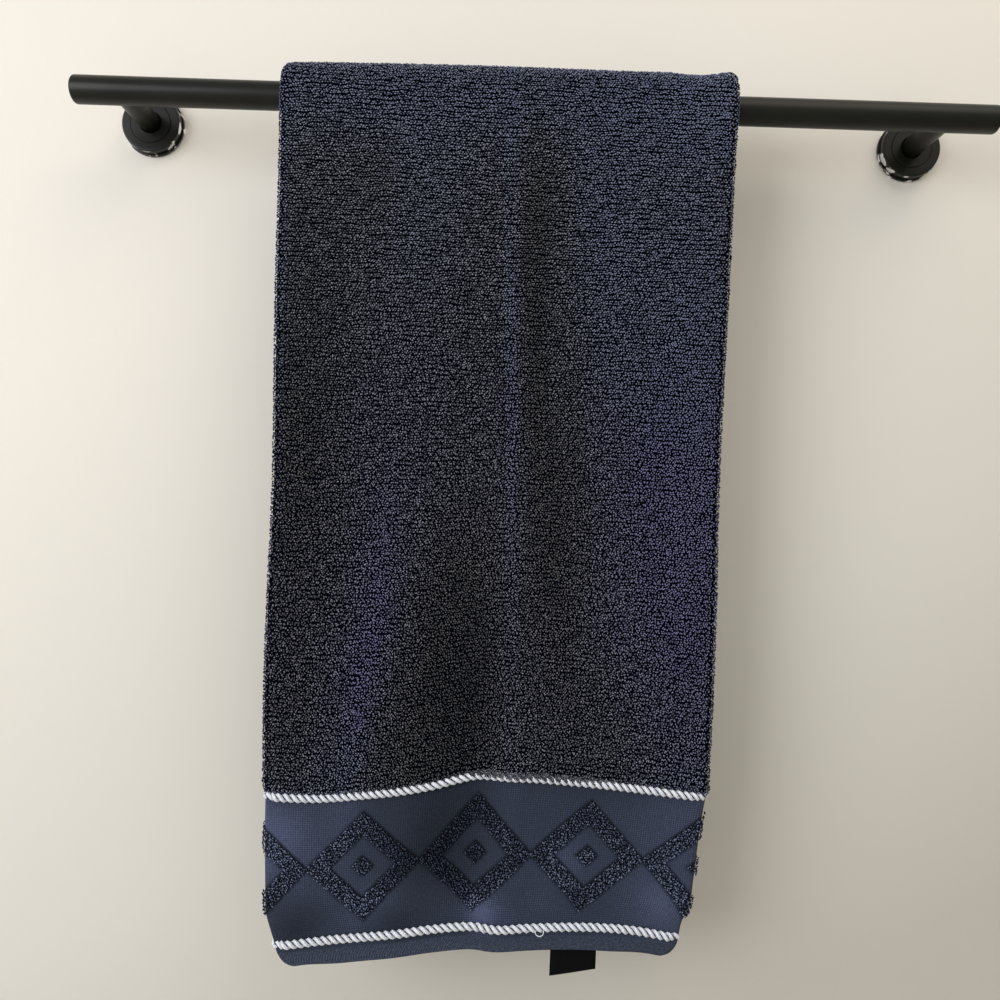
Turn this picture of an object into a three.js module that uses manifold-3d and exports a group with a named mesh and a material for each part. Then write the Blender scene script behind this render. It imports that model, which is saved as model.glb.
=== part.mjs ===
// Bath towel, folded lengthwise with both sides turned to the back, hung over a wall-mounted towel bar.
// All sizes are in millimetres. +X runs along the bar, -Y points out from the wall and +Z is up.
// The origin lies on the wall, midway between the two posts and level with the bar's axis.
import * as THREE from "three";
import { mergeVertices } from "three/addons/utils/BufferGeometryUtils.js";
import Module from "manifold-3d";

const fitGap = 0.3; // between pieces that touch

// Bar and its two holders.
const barRadius = 12.7;
const barHalfLength = 428;
const barEndRound = 3;
const barFromWall = 78;
const postRadius = 10;
const postHalfSpacing = 381;
const plateRadius = 30.5;
const plateThickness = 3;
const coverRadius = 29;
const coverThickness = 8.5;
const coverStepRadius = 19.8;
const coverStepHeight = 2.5;
const coverEdgeRound = 1.6;
const barSides = 48;
const holderSides = 40;

// Cloth. Terry counts its pile on both faces; the border and hems are flat-woven.
const terryThickness = 7;
const borderThickness = 2.6;
const hemThickness = 4;
const stepLength = 1.8; // the length in which the cloth steps from one thickness to the next
const barClearance = 0.5;
const layerGap = 8.2; // between the grounds of the front panel and of the sides turned behind it
const crownRise = 4; // the bulky fold stands this much off the bar at the top
const towelCentre = -24; // the towel hangs a little left of the middle of the bar

const flapGround = barRadius + barClearance + terryThickness / 2; // the turned-in sides, from the bar's axis
const outerGround = flapGround + layerGap; // the front panel

// Levels down the front and the back, measured from the bar's axis.
const terryEnd = -617.2;
const cordUpperLevel = -622;
const cordLowerLevel = -752;
const frontHemEnd = -770.5;
const rearHemEnd = -522;
const hemHeight = 14;
const riseStart = -220; // the unevenness of the lower edge fades out this far down from the bar

const cordRadius = 3.3;
const cordSides = 8;

// The label hangs out of the front hem.
const labelWidth = 42;
const labelHeight = 31;
const labelThickness = 0.9;
const labelLeft = 63; // from the towel's centre line
const labelBottom = -785;
const labelTilt = -0.12; // radians, its left corner hangs lower

// Half widths of the folded towel, and where the turned-in sides end behind it, from its centre line.
const frontRows = [
  { level: 0, left: 204, right: 206.5, leftEdge: -60, rightEdge: 17 },
  { level: -100, left: 202.5, right: 204.5, leftEdge: -64, rightEdge: 19 },
  { level: -280, left: 200.5, right: 202, leftEdge: -72, rightEdge: 24 },
  { level: -460, left: 199.5, right: 200.5, leftEdge: -80, rightEdge: 27 },
  { level: -618, left: 198.8, right: 199, leftEdge: -86, rightEdge: 30 },
];
const borderRows = [
  { level: -618, left: 192.5, right: 191.5, leftEdge: -86, rightEdge: 30 },
  { level: -650, left: 192, right: 189.5, leftEdge: -86, rightEdge: 30 },
  { level: -700, left: 190, right: 184, leftEdge: -87, rightEdge: 30 },
  { level: -752, left: 181, right: 174.5, leftEdge: -88, rightEdge: 30 },
  { level: -771, left: 179.5, right: 173.5, leftEdge: -88, rightEdge: 30 },
];
const rearRows = [
  { level: 0, left: 204, right: 206.5, leftEdge: -60, rightEdge: 17 },
  { level: -250, left: 204, right: 205, leftEdge: -62, rightEdge: 14 },
  { level: -522, left: 201, right: 203, leftEdge: -64, rightEdge: 12 },
];

// The lower edge is uneven: how far each cord stands above its level, across the width from fold to fold.
const riseRows = [
  { across: -1, upper: -15, lower: -15 },
  { across: -0.75, upper: -15, lower: -11 },
  { across: -0.5, upper: -10, lower: -6 },
  { across: -0.25, upper: -1, lower: 1 },
  { across: -0.05, upper: 9, lower: 5 },
  { across: 0.2, upper: 7, lower: 5 },
  { across: 0.5, upper: 4, lower: 7 },
  { across: 0.75, upper: 0, lower: 5 },
  { across: 1, upper: -3, lower: 1 },
];

// The line over the top of the bar: how far the outer layer stands above or below its crown.
const crownRows = [
  { across: -1, rise: -3.5 },
  { across: -0.93, rise: -0.5 },
  { across: -0.4, rise: 1.2 },
  { across: 0, rise: 2 },
  { across: 0.5, rise: 0.5 },
  { across: 0.86, rise: -2.5 },
  { across: 1, rise: 2.5 },
];

// Rounded bottom corners: how far the folds draw in, up from the hem's end to its top.
const cornerRows = [
  { up: 0, inset: 14 },
  { up: 2.5, inset: 8 },
  { up: 7, inset: 3.5 },
  { up: hemHeight, inset: 0 },
];

// Soft flutes in the hanging cloth. Each runs from one level to another, drifting sideways.
const fluteFullness = 0.6; // under 1, a flute keeps its height over more of its length
const frontFlutes = [
  { from: -20, to: -540, startX: 17, endX: 28, height: 2.2, width: 9 }, // over the right side's selvedge
  { from: -110, to: -700, startX: -64, endX: -92, height: 3, width: 30 },
  { from: -60, to: -680, startX: 164, endX: 170, height: 2.6, width: 34 },
  { from: -300, to: -740, startX: -24, endX: -10, height: -2.4, width: 30 },
  { from: -560, to: -790, startX: 26, endX: 22, height: 3, width: 15 },
  { from: -600, to: -790, startX: -74, endX: -70, height: 2, width: 20 },
];
const rearFlutes = [
  { from: -60, to: -560, startX: 120, endX: 108, height: 3, width: 34 },
  { from: -90, to: -560, startX: -120, endX: -132, height: 2.6, width: 40 },
];

// Sample counts along the section and the drop.
const foldSteps = 5;
const frontSteps = 16;
const leftTurnSteps = 5;
const rightTurnSteps = 7;
const crownSteps = 12;
const rearSpans = 9;
const frontSpans = 15;
const borderSpans = 6;

const matteBlack = new THREE.MeshStandardMaterial({ color: 0x1e1f1b, roughness: 0.55, metalness: 0.4 });
const navyTerry = new THREE.MeshStandardMaterial({ color: 0x2f3650, roughness: 0.95, metalness: 0 });
const whiteCord = new THREE.MeshStandardMaterial({ color: 0xe6e7ee, roughness: 0.7, metalness: 0 });
const blackSatin = new THREE.MeshStandardMaterial({ color: 0x0b0c0e, roughness: 0.5, metalness: 0 });

// A smooth curve through one column of a table whose key column rises or falls.
function readRows(rows, key, column, at) {
  const falling = rows[0][key] > rows[rows.length - 1][key];
  const points = falling ? rows.toReversed() : rows;
  const last = points.length - 1;
  if (at <= points[0][key]) return points[0][column];
  if (at >= points[last][key]) return points[last][column];
  let index = 0;
  while (points[index + 1][key] < at) index += 1;
  const span = points[index + 1][key] - points[index][key];
  const slope = (i) => {
    const before = points[Math.max(i - 1, 0)];
    const after = points[Math.min(i + 1, last)];
    return (after[column] - before[column]) / (after[key] - before[key]);
  };
  const share = (at - points[index][key]) / span;
  const square = share * share;
  const cube = square * share;
  return (2 * cube - 3 * square + 1) * points[index][column]
    + (cube - 2 * square + share) * span * slope(index)
    + (3 * square - 2 * cube) * points[index + 1][column]
    + (cube - square) * span * slope(index + 1);
}

function smoothShare(value, start, end) {
  const share = Math.min(Math.max((value - start) / (end - start), 0), 1);
  return share * share * (3 - 2 * share);
}

function fluteRelief(flutes, x, level) {
  let relief = 0;
  for (const flute of flutes) {
    const along = (level - flute.from) / (flute.to - flute.from);
    if (along <= 0 || along >= 1) continue;
    const middle = flute.startX + (flute.endX - flute.startX) * along;
    const distance = (x - middle) / flute.width;
    relief += flute.height * Math.sin(Math.PI * along) ** fluteFullness * Math.exp(-distance * distance);
  }
  return relief;
}

// A station is one cross-section of the hung cloth: on the rear drop, over the bar or on the front drop.
function makeStation(part, level, turn, thickness) {
  const drop = part === "rear" ? rearRows : frontRows;
  const rows = part === "front" && level < terryEnd ? borderRows : drop;
  const hemEnd = part === "rear" ? rearHemEnd : frontHemEnd;
  const inset = readRows(cornerRows, "up", "inset", level - hemEnd);
  const gap = layerGap + crownRise * Math.sin(turn) ** 2;
  return {
    part,
    level,
    turn,
    thickness,
    gap,
    left: -readRows(rows, "level", "left", level) + inset + thickness / 2,
    right: readRows(rows, "level", "right", level) - inset - thickness / 2,
    leftEdge: readRows(rows, "level", "leftEdge", level),
    rightEdge: readRows(rows, "level", "rightEdge", level),
  };
}

// The ground of the cloth across one station: left side turned in, front panel, right side turned in.
// n is measured outwards from the front panel's ground.
function sectionPath(station) {
  const foldRadius = station.gap / 2;
  const leftCentre = station.left + foldRadius;
  const rightCentre = station.right - foldRadius;
  const points = [];
  for (let i = 0; i < leftTurnSteps; i += 1) {
    const share = i / leftTurnSteps;
    points.push({ x: station.leftEdge + (leftCentre - station.leftEdge) * share, n: -station.gap });
  }
  for (let i = 0; i < foldSteps; i += 1) {
    const angle = -Math.PI / 2 - (Math.PI * i) / foldSteps;
    points.push({ x: leftCentre + foldRadius * Math.cos(angle), n: foldRadius * (Math.sin(angle) - 1) });
  }
  for (let i = 0; i <= frontSteps; i += 1) {
    points.push({ x: leftCentre + ((rightCentre - leftCentre) * i) / frontSteps, n: 0 });
  }
  for (let i = 1; i <= foldSteps; i += 1) {
    const angle = Math.PI / 2 - (Math.PI * i) / foldSteps;
    points.push({ x: rightCentre + foldRadius * Math.cos(angle), n: foldRadius * (Math.sin(angle) - 1) });
  }
  for (let i = 1; i <= rightTurnSteps; i += 1) {
    const share = i / rightTurnSteps;
    points.push({ x: rightCentre + (station.rightEdge - rightCentre) * share, n: -station.gap });
  }
  return points;
}

// The unit normal on the cloth's outer face at each point of a section path.
function sectionNormals(path) {
  return path.map((point, i) => {
    const before = path[Math.max(i - 1, 0)];
    const after = path[Math.min(i + 1, path.length - 1)];
    const length = Math.hypot(after.x - before.x, after.n - before.n);
    return { x: -(after.n - before.n) / length, n: (after.x - before.x) / length };
  });
}

// From section coordinates to space. up moves a point along the drop, for round sections such as cords.
function toSpace(station, x, n, up = 0) {
  const across = Math.min(Math.max(x / (x < 0 ? -station.left : station.right), -1), 1);
  const outerShare = Math.min(Math.max(1 + n / station.gap, 0), 1);
  const crown = readRows(crownRows, "across", "rise", across) * outerShare;
  const radius = flapGround + station.gap + n + crown * Math.sin(station.turn) ** 2;
  const worldX = towelCentre + x;
  if (station.part === "over") {
    const y = radius * Math.cos(station.turn) - barFromWall;
    return [worldX, y, radius * Math.sin(station.turn)];
  }
  if (station.part === "rear") {
    const relief = fluteRelief(rearFlutes, x, station.level);
    return [worldX, radius + relief - barFromWall, station.level + up];
  }
  const upperShare = smoothShare(station.level, riseStart, cordUpperLevel);
  const lowerShare = smoothShare(station.level, cordUpperLevel, cordLowerLevel);
  const upperRise = readRows(riseRows, "across", "upper", across);
  const lowerRise = readRows(riseRows, "across", "lower", across);
  const rise = upperShare * (upperRise + (lowerRise - upperRise) * lowerShare);
  const relief = fluteRelief(frontFlutes, x, station.level);
  return [worldX, -radius - relief - barFromWall, station.level + rise + up];
}

// A closed solid through rings of equal length, the first and last ring closed by the given cap faces.
function loftRings(rings, capFaces) {
  const count = rings[0].length;
  const positions = rings.flat(2);
  const index = [];
  for (let ring = 0; ring < rings.length - 1; ring += 1) {
    for (let i = 0; i < count; i += 1) {
      const a = ring * count + i;
      const b = ring * count + ((i + 1) % count);
      index.push(a, b + count, b, a, a + count, b + count);
    }
  }
  const end = (rings.length - 1) * count;
  for (const [a, b, c] of capFaces) {
    index.push(a, b, c);
    index.push(end + a, end + c, end + b);
  }
  const geometry = new THREE.BufferGeometry();
  geometry.setAttribute("position", new THREE.Float32BufferAttribute(positions, 3));
  geometry.setIndex(index);
  geometry.computeVertexNormals();
  return geometry;
}

// A ring around the cloth's section runs along one face and back along the other.
function clothRing(station) {
  const path = sectionPath(station);
  const normals = sectionNormals(path);
  const face = (side) => path.map((point, i) => {
    const offset = (side * station.thickness) / 2;
    return toSpace(station, point.x + normals[i].x * offset, point.n + normals[i].n * offset);
  });
  return [...face(1), ...face(-1).reverse()];
}

function clothCap(count) {
  const faces = [];
  for (let i = 0; i < count / 2 - 1; i += 1) {
    const opposite = count - 1 - i;
    faces.push([i, i + 1, opposite - 1], [i, opposite - 1, opposite]);
  }
  return faces;
}

function fanCap(count) {
  const faces = [];
  for (let i = 1; i < count - 1; i += 1) faces.push([0, i, i + 1]);
  return faces;
}

function evenLevels(start, end, spans) {
  return Array.from({ length: spans + 1 }, (_, i) => start + ((end - start) * i) / spans);
}

function towelStations() {
  const stations = [];
  const add = (part, level, thickness) => stations.push(makeStation(part, level, 0, thickness));
  for (const row of cornerRows) add("rear", rearHemEnd + row.up, hemThickness);
  for (const level of evenLevels(rearHemEnd + hemHeight + stepLength, 0, rearSpans)) {
    add("rear", level, terryThickness);
  }
  for (let i = 1; i < crownSteps; i += 1) {
    stations.push(makeStation("over", 0, (Math.PI * i) / crownSteps, terryThickness));
  }
  for (const level of evenLevels(0, terryEnd, frontSpans)) add("front", level, terryThickness);
  const borderLevels = [
    terryEnd - stepLength,
    ...evenLevels(cordUpperLevel, cordLowerLevel, borderSpans),
    frontHemEnd + hemHeight + stepLength,
  ];
  for (const level of borderLevels) add("front", level, borderThickness);
  for (const row of cornerRows.toReversed()) add("front", frontHemEnd + row.up, hemThickness);
  return stations;
}

function makeTowel() {
  const rings = towelStations().map(clothRing);
  return loftRings(rings, clothCap(rings[0].length));
}

// A sewn trim follows the cloth's outer face round both folds to the selvedges.
function makeCord(level) {
  const station = makeStation("front", level, 0, borderThickness);
  const path = sectionPath(station);
  const normals = sectionNormals(path);
  const standOff = borderThickness / 2 + fitGap + cordRadius;
  const rings = path.map((point, i) => {
    const ring = [];
    for (let side = 0; side < cordSides; side += 1) {
      const angle = (2 * Math.PI * side) / cordSides;
      const out = standOff + cordRadius * Math.cos(angle);
      const up = cordRadius * Math.sin(angle);
      ring.push(toSpace(station, point.x + normals[i].x * out, point.n + normals[i].n * out, up));
    }
    return ring;
  });
  return loftRings(rings, fanCap(cordSides));
}

function makeLabel() {
  return new THREE.BoxGeometry(labelWidth, labelThickness, labelHeight);
}

// A turned piece: its profile runs from the wall outwards, and its axis becomes -Y.
function turnedPiece(profile, sides) {
  const points = profile.map(([radius, out]) => new THREE.Vector2(radius, out));
  return new THREE.LatheGeometry(points, sides).rotateX(Math.PI);
}

function makeBar() {
  const flat = barRadius - barEndRound;
  const shoulder = barHalfLength - barEndRound;
  const diagonal = barEndRound * Math.SQRT1_2;
  const endProfile = [
    [0, barHalfLength],
    [flat, barHalfLength],
    [flat + diagonal, shoulder + diagonal],
    [barRadius, shoulder],
  ];
  const profile = [...endProfile.map(([radius, along]) => [radius, -along]), ...endProfile.toReversed()];
  return turnedPiece(profile, barSides).rotateZ(-Math.PI / 2);
}

const wasm = await Module();
wasm.setup();

function toManifold(geometry) {
  const bare = geometry.clone();
  bare.deleteAttribute("normal");
  bare.deleteAttribute("uv");
  const merged = mergeVertices(bare, 1e-4);
  return new wasm.Manifold(new wasm.Mesh({
    numProp: 3,
    vertProperties: new Float32Array(merged.attributes.position.array),
    triVerts: new Uint32Array(merged.index.array),
  }));
}

function fromManifold(solid) {
  const mesh = solid.getMesh();
  const geometry = new THREE.BufferGeometry();
  geometry.setAttribute("position", new THREE.BufferAttribute(mesh.vertProperties, 3));
  geometry.setIndex(new THREE.BufferAttribute(mesh.triVerts, 1));
  geometry.computeVertexNormals();
  return geometry;
}

// The post's end is saddled to the round of the bar.
function makePost() {
  const length = barFromWall - plateThickness - fitGap;
  const post = new THREE.CylinderGeometry(postRadius, postRadius, length, holderSides);
  post.translate(0, -plateThickness - fitGap - length / 2, 0);
  const saddleRadius = barRadius + fitGap;
  const barSpace = new THREE.CylinderGeometry(saddleRadius, saddleRadius, 4 * postRadius, barSides);
  barSpace.rotateZ(Math.PI / 2);
  barSpace.translate(0, -barFromWall, 0);
  return fromManifold(toManifold(post).subtract(toManifold(barSpace)));
}

function makePlate() {
  const profile = [[0, 0], [plateRadius, 0], [plateRadius, plateThickness], [0, plateThickness]];
  return turnedPiece(profile, holderSides);
}

function makeCover() {
  const hole = postRadius + 2 * fitGap;
  const back = plateThickness + fitGap;
  const front = back + coverThickness;
  const top = front + coverStepHeight;
  return turnedPiece([
    [hole, back],
    [coverRadius, back],
    [coverRadius, front - coverEdgeRound],
    [coverRadius - coverEdgeRound, front],
    [coverStepRadius, front],
    [coverStepRadius - coverEdgeRound / 2, top],
    [hole, top],
    [hole, back],
  ], holderSides);
}

const part = new THREE.Group();

function addMesh(name, geometry, material) {
  const mesh = new THREE.Mesh(geometry, material.clone());
  mesh.name = name;
  part.add(mesh);
  return mesh;
}

addMesh("towel", makeTowel(), navyTerry);
addMesh("cord_upper", makeCord(cordUpperLevel), whiteCord);
addMesh("cord_lower", makeCord(cordLowerLevel), whiteCord);
const label = addMesh("label", makeLabel(), blackSatin);
label.position.set(
  towelCentre + labelLeft + labelWidth / 2,
  hemThickness / 2 + fitGap + labelThickness / 2 - outerGround - barFromWall,
  labelBottom + labelHeight / 2,
);
label.rotation.y = labelTilt;
addMesh("bar", makeBar(), matteBlack).position.set(0, -barFromWall, 0);
const holderPieces = [["post", makePost()], ["cover", makeCover()], ["wall_plate", makePlate()]];
for (const [side, direction] of [["left", -1], ["right", 1]]) {
  for (const [name, geometry] of holderPieces) {
    addMesh(`${name}_${side}`, geometry, matteBlack).position.set(direction * postHalfSpacing, 0, 0);
  }
}

export default part;
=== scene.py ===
# A bath towel over a wall-mounted towel bar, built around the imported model.
# The sizes in the dictionaries are in millimetres, but for the camera's and the stage's. Finished meshes
# are in metres, in the model's frame: +X along the bar, -Y out from the wall, +Z up, the origin on the wall
# level with the bar.
import itertools
import math

import bmesh
import bpy
import numpy as np
from mathutils import Matrix, Vector


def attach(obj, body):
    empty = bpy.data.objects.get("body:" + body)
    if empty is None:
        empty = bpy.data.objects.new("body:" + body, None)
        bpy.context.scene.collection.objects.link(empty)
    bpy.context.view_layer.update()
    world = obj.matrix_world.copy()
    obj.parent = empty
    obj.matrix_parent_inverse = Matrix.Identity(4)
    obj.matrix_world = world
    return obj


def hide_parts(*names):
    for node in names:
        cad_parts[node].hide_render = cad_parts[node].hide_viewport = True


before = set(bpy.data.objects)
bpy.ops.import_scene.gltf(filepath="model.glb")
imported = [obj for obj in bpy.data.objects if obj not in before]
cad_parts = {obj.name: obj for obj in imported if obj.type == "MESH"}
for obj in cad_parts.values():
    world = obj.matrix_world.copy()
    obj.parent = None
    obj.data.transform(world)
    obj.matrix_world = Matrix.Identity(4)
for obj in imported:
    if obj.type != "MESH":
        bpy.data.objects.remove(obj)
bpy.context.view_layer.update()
scene = bpy.context.scene
mm = 0.001

# ---- camera

cameraView = {"place": (-0.019, -0.874, -0.366), "lens": 31.03, "rollDegrees": 1.9}


def addCamera(view):
    roll = math.radians(view["rollDegrees"])
    right = Vector((math.cos(roll), 0, math.sin(roll)))
    up = Vector((-math.sin(roll), 0, math.cos(roll)))
    data = bpy.data.cameras.new("camera")
    data.lens = view["lens"]
    camera = bpy.data.objects.new("camera", data)
    turn = Matrix((right, up, right.cross(up))).transposed().to_4x4()
    camera.matrix_world = Matrix.Translation(view["place"]) @ turn
    scene.collection.objects.link(camera)
    scene.camera = camera


addCamera(cameraView)

# ---- small helpers


def linear(hexColour):
    # an sRGB hex value as the linear colour that a socket takes
    parts = [int(hexColour[i:i + 2], 16) / 255 for i in (1, 3, 5)]
    return (*[c / 12.92 if c <= 0.04045 else ((c + 0.055) / 1.055) ** 2.4 for c in parts], 1)


def addNode(tree, kind, settings=None, inputs=None):
    # one node with its settings; an input given as a socket, or as a node for its first output, is linked
    node = tree.nodes.new(kind)
    for key, value in (settings or {}).items():
        setattr(node, key, value)
    for key, value in (inputs or {}).items():
        if isinstance(value, bpy.types.Node):
            value = value.outputs[0]
        if isinstance(value, bpy.types.NodeSocket):
            tree.links.new(value, node.inputs[key])
        else:
            node.inputs[key].default_value = value
    return node


def newMaterial(name):
    material = bpy.data.materials.new(name)
    material.use_nodes = True
    tree = material.node_tree
    shader = tree.nodes["Principled BSDF"]
    return material, tree, shader


def colourSteps(tree, factor, steps):
    # a colour ramp from (position, hex colour) pairs
    ramp = addNode(tree, "ShaderNodeValToRGB", inputs={0: factor})
    elements = ramp.color_ramp.elements
    while len(elements) < len(steps):
        elements.new(0.5)
    for element, (position, colour) in zip(elements, steps):
        element.position = position
        element.color = linear(colour)
    return ramp.outputs[0]


def dressShader(tree, shader, colour, bump, roughness, specular):
    # a finish's colour and bump, and how rough and how shiny it is
    tree.links.new(colour, shader.inputs["Base Color"])
    tree.links.new(bump.outputs[0], shader.inputs["Normal"])
    shader.inputs["Roughness"].default_value = roughness
    shader.inputs["Specular IOR Level"].default_value = specular


def bandScale(pitch):
    # the Wave texture's scale for bands of that pitch in millimetres
    return 2 * math.pi / (20 * pitch * mm)


def grainScale(size):
    # a noise or cell texture's scale for grains of that size in millimetres, as a whole number to the metre
    return float(round(1 / (size * mm)))


def newObject(name, mesh):
    piece = bpy.data.objects.new(name, mesh)
    scene.collection.objects.link(piece)
    return piece


def addMark(mesh, name, values):
    # a number or a vector on each point of a mesh
    values = np.asarray(values, np.float32)
    kind, field = ("FLOAT_VECTOR", "vector") if values.ndim == 2 else ("FLOAT", "value")
    mesh.attributes.new(name, kind, "POINT").data.foreach_set(field, values.ravel())


def ringFaces(rings, around, closed=False):
    # the quads between each ring of points and the next; closed joins the last ring to the first as well
    ring, i = np.meshgrid(np.arange(rings if closed else rings - 1), np.arange(around), indexing="ij")
    follow, j = (ring + 1) % rings, (i + 1) % around
    corners = [ring * around + i, ring * around + j, follow * around + j, follow * around + i]
    return np.stack(corners, -1).reshape(-1, 4)


def makePiece(name, points, faces, materials, faceMaterials=None, mapPoints=None, marks=None):
    # points in millimetres; coinciding points are merged and the faces turned outwards
    mesh = bpy.data.meshes.new(name)
    mesh.from_pydata((np.asarray(points) * mm).tolist(), [], np.asarray(faces).tolist())
    for material in materials:
        mesh.materials.append(material)
    if faceMaterials is not None:
        mesh.polygons.foreach_set("material_index", np.asarray(faceMaterials, np.int32))
    if mapPoints is not None:
        layer = mesh.uv_layers.new(name="clothMap")
        corners = np.empty(len(mesh.loops), np.int32)
        mesh.loops.foreach_get("vertex_index", corners)
        layer.data.foreach_set("uv", (np.asarray(mapPoints)[corners] * mm).astype(np.float32).ravel())
    for mark, values in (marks or {}).items():
        addMark(mesh, mark, values)
    work = bmesh.new()
    work.from_mesh(mesh)
    bmesh.ops.remove_doubles(work, verts=work.verts, dist=2e-6)
    bmesh.ops.dissolve_degenerate(work, dist=1e-7, edges=work.edges)
    if work.calc_volume(signed=True) < 0:
        bmesh.ops.reverse_faces(work, faces=work.faces)
    for face in work.faces:
        face.smooth = True
    work.to_mesh(mesh)
    work.free()
    return newObject(name, mesh)


def newTree(name, result, inputs):
    # a Geometry Nodes tree with its named inputs, and what they give
    tree = bpy.data.node_groups.new(name, "GeometryNodeTree")
    for label, kind in inputs.items():
        tree.interface.new_socket(label, in_out="INPUT", socket_type="NodeSocket" + kind)
    tree.interface.new_socket(result, in_out="OUTPUT", socket_type="NodeSocketGeometry")
    return tree, addNode(tree, "NodeGroupInput").outputs


def finishTree(tree, geometry, finish):
    # every instance made real, in its finish
    real = addNode(tree, "GeometryNodeRealizeInstances", inputs={0: geometry})
    finished = addNode(tree, "GeometryNodeSetMaterial", inputs={"Geometry": real, "Material": finish})
    addNode(tree, "NodeGroupOutput", inputs={0: finished})


def plainMesh(carrier):
    # what the carrier's modifiers or curve settings make, as a mesh of its own; the carrier goes
    mesh = bpy.data.meshes.new_from_object(carrier.evaluated_get(bpy.context.evaluated_depsgraph_get()))
    carrier.modifiers.clear()
    bpy.data.objects.remove(carrier)
    return mesh


def runTree(name, carrier, tree, values):
    # the tree on a carrier mesh, made into a plain mesh piece
    modifier = carrier.modifiers.new("build", "NODES")
    modifier.node_group = tree
    for item in tree.interface.items_tree:
        if item.in_out == "INPUT" and item.name in values:
            modifier[item.identifier] = values[item.name]
    mesh = plainMesh(carrier)
    mesh.name = name
    return newObject(name, mesh)


def carrierMesh(points, marks, edges=()):
    # bare points, or a line, with numbers and vectors on them for a node tree
    mesh = bpy.data.meshes.new("carrier")
    mesh.from_pydata((np.asarray(points) * mm).tolist(), list(edges), [])
    for name, values in marks.items():
        addMark(mesh, name, values)
    return newObject("carrier", mesh)


# ---- the shape of the hung towel

towel = {
    "flatWidth": 762,
    "flatLength": 1372,
    "centre": -24,          # the towel hangs a little left of the middle of the bar
    "barRadius": 12.7,
    "barFromWall": 78,
    "barClearance": 0.5,
    "terryThickness": 7,    # with the pile on both faces
    "borderThickness": 2.6,
    "hemThickness": 4,
    "layerGap": 8.2,        # from the sides turned in to the front panel
    "crownRise": 4,
    "terryEnd": -617.2,     # levels, from the bar's axis
    "cordUpper": -622,
    "cordLower": -752,
    "frontHemEnd": -773.5,
    "rearHemEnd": -522,
    "hemHeight": 14,
    "riseStart": -220,
    "borderLevels": (-610, -620),   # terry gives way to the flat border between these
    "groundLevels": (-612, -620),   # and its ground to the border's
    "hemLevels": (-754, -757),      # the border thickens into the hem
    "closeFrom": -598,      # the mesh is closer below this level
    "halfWidth": 200,       # of the folded towel, roughly
}

# level, half widths left and right, and where the two turned-in sides end
frontRows = [
    (0, 205.5, 209, -60, 17),
    (-90, 204.4, 206.4, -64, 19),
    (-180, 204, 205.2, -68, 21),
    (-270, 202.4, 203, -72, 24),
    (-356, 201, 202, -76, 25),
    (-445, 202.3, 203.2, -80, 27),
    (-533, 202.7, 203, -83, 29),
    (-604, 200.7, 201.7, -86, 30),
]
borderRows = [
    (-618, 196.8, 199, -86, 30),
    (-650, 196.5, 194.5, -86, 30),
    (-700, 194.5, 190, -87, 30),
    (-725, 193, 187, -87, 30),
    (-740, 188.5, 180.5, -88, 30),
    (-752, 184.5, 178.5, -88, 30),
    (-773, 181.5, 177, -88, 30),
]
rearRows = [(0, 204, 206.5, -60, 17), (-250, 204, 205, -62, 14), (-522, 201, 203, -64, 12)]

# across the width, how far the two cords stand above their levels
riseRows = [
    (-1, -15, -18), (-0.75, -15, -10.7), (-0.5, -9, -5), (-0.25, -1, 2), (-0.05, 9, 6), (0.06, 9.5, 4.2),
    (0.2, 9, 5.8), (0.5, 5.8, 8.6), (0.75, 2, 7.5), (1, -3, 1),
]
# across the width, the outer layer over the top of the bar
crownRows = [(-1, -3.5), (-0.93, -3), (-0.4, -1.3), (0, -0.8), (0.5, -1.5), (0.7, -1.5), (0.86, -3), (1, 2)]
# up from the end of a hem, how far the folds draw in
cornerRows = [(0, 11.5), (1.2, 8), (3, 5.4), (7, 2.8), (14, 0.5), (20, 0)]
# the corners of the front hem curl up: side, how far, and between which shares of the half width
cornerLifts = [(1, 4.2, 0.68, 0.95), (-1, 3, 0.72, 0.95)]

# soft flutes: from and to a level, across at each end, height and width
fluteFullness = 0.6
frontFlutes = [
    (-20, -560, 12, 27, 3.0, 10),
    (-110, -700, -64, -92, 3, 30),
    (-60, -680, 164, 170, 2.6, 34),
    (-300, -740, -24, -10, -2.4, 30),
    (-560, -790, 26, 22, 3, 15),
    (-600, -790, -74, -70, 2, 20),
]
rearFlutes = [(-60, -560, 120, 108, 3, 34), (-90, -560, -120, -132, 2.6, 40)]

flapGround = towel["barRadius"] + towel["barClearance"] + towel["terryThickness"] / 2
rearLength = -towel["rearHemEnd"]
crownLength = math.pi * (flapGround + towel["layerGap"] + towel["crownRise"] / 2)
frontStart = rearLength + crownLength
dropLength = frontStart - towel["frontHemEnd"]


def frontDrop(level):
    # how far down the cloth, from the end of the rear drop, a level on the front lies
    return frontStart - level


def laneAcross(across):
    # the lane of a place on the front panel, from the towel's centre line
    return 2 + (across + towel["halfWidth"]) / (2 * towel["halfWidth"])


def readRows(rows, column, at):
    # a smooth curve through one column of a table
    table = np.array(sorted(rows), float)
    keys, values = table[:, 0], table[:, column]
    at = np.clip(at, keys[0], keys[-1])
    i = np.clip(np.searchsorted(keys, at, side="right") - 1, 0, len(keys) - 2)
    before = np.maximum(np.arange(len(keys)) - 1, 0)
    after = np.minimum(np.arange(len(keys)) + 1, len(keys) - 1)
    slopes = (values[after] - values[before]) / (keys[after] - keys[before])
    span = keys[i + 1] - keys[i]
    share = (at - keys[i]) / span
    square, cube = share ** 2, share ** 3
    return (
        (2 * cube - 3 * square + 1) * values[i]
        + (cube - 2 * square + share) * span * slopes[i]
        + (3 * square - 2 * cube) * values[i + 1]
        + (cube - square) * span * slopes[i + 1]
    )


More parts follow.
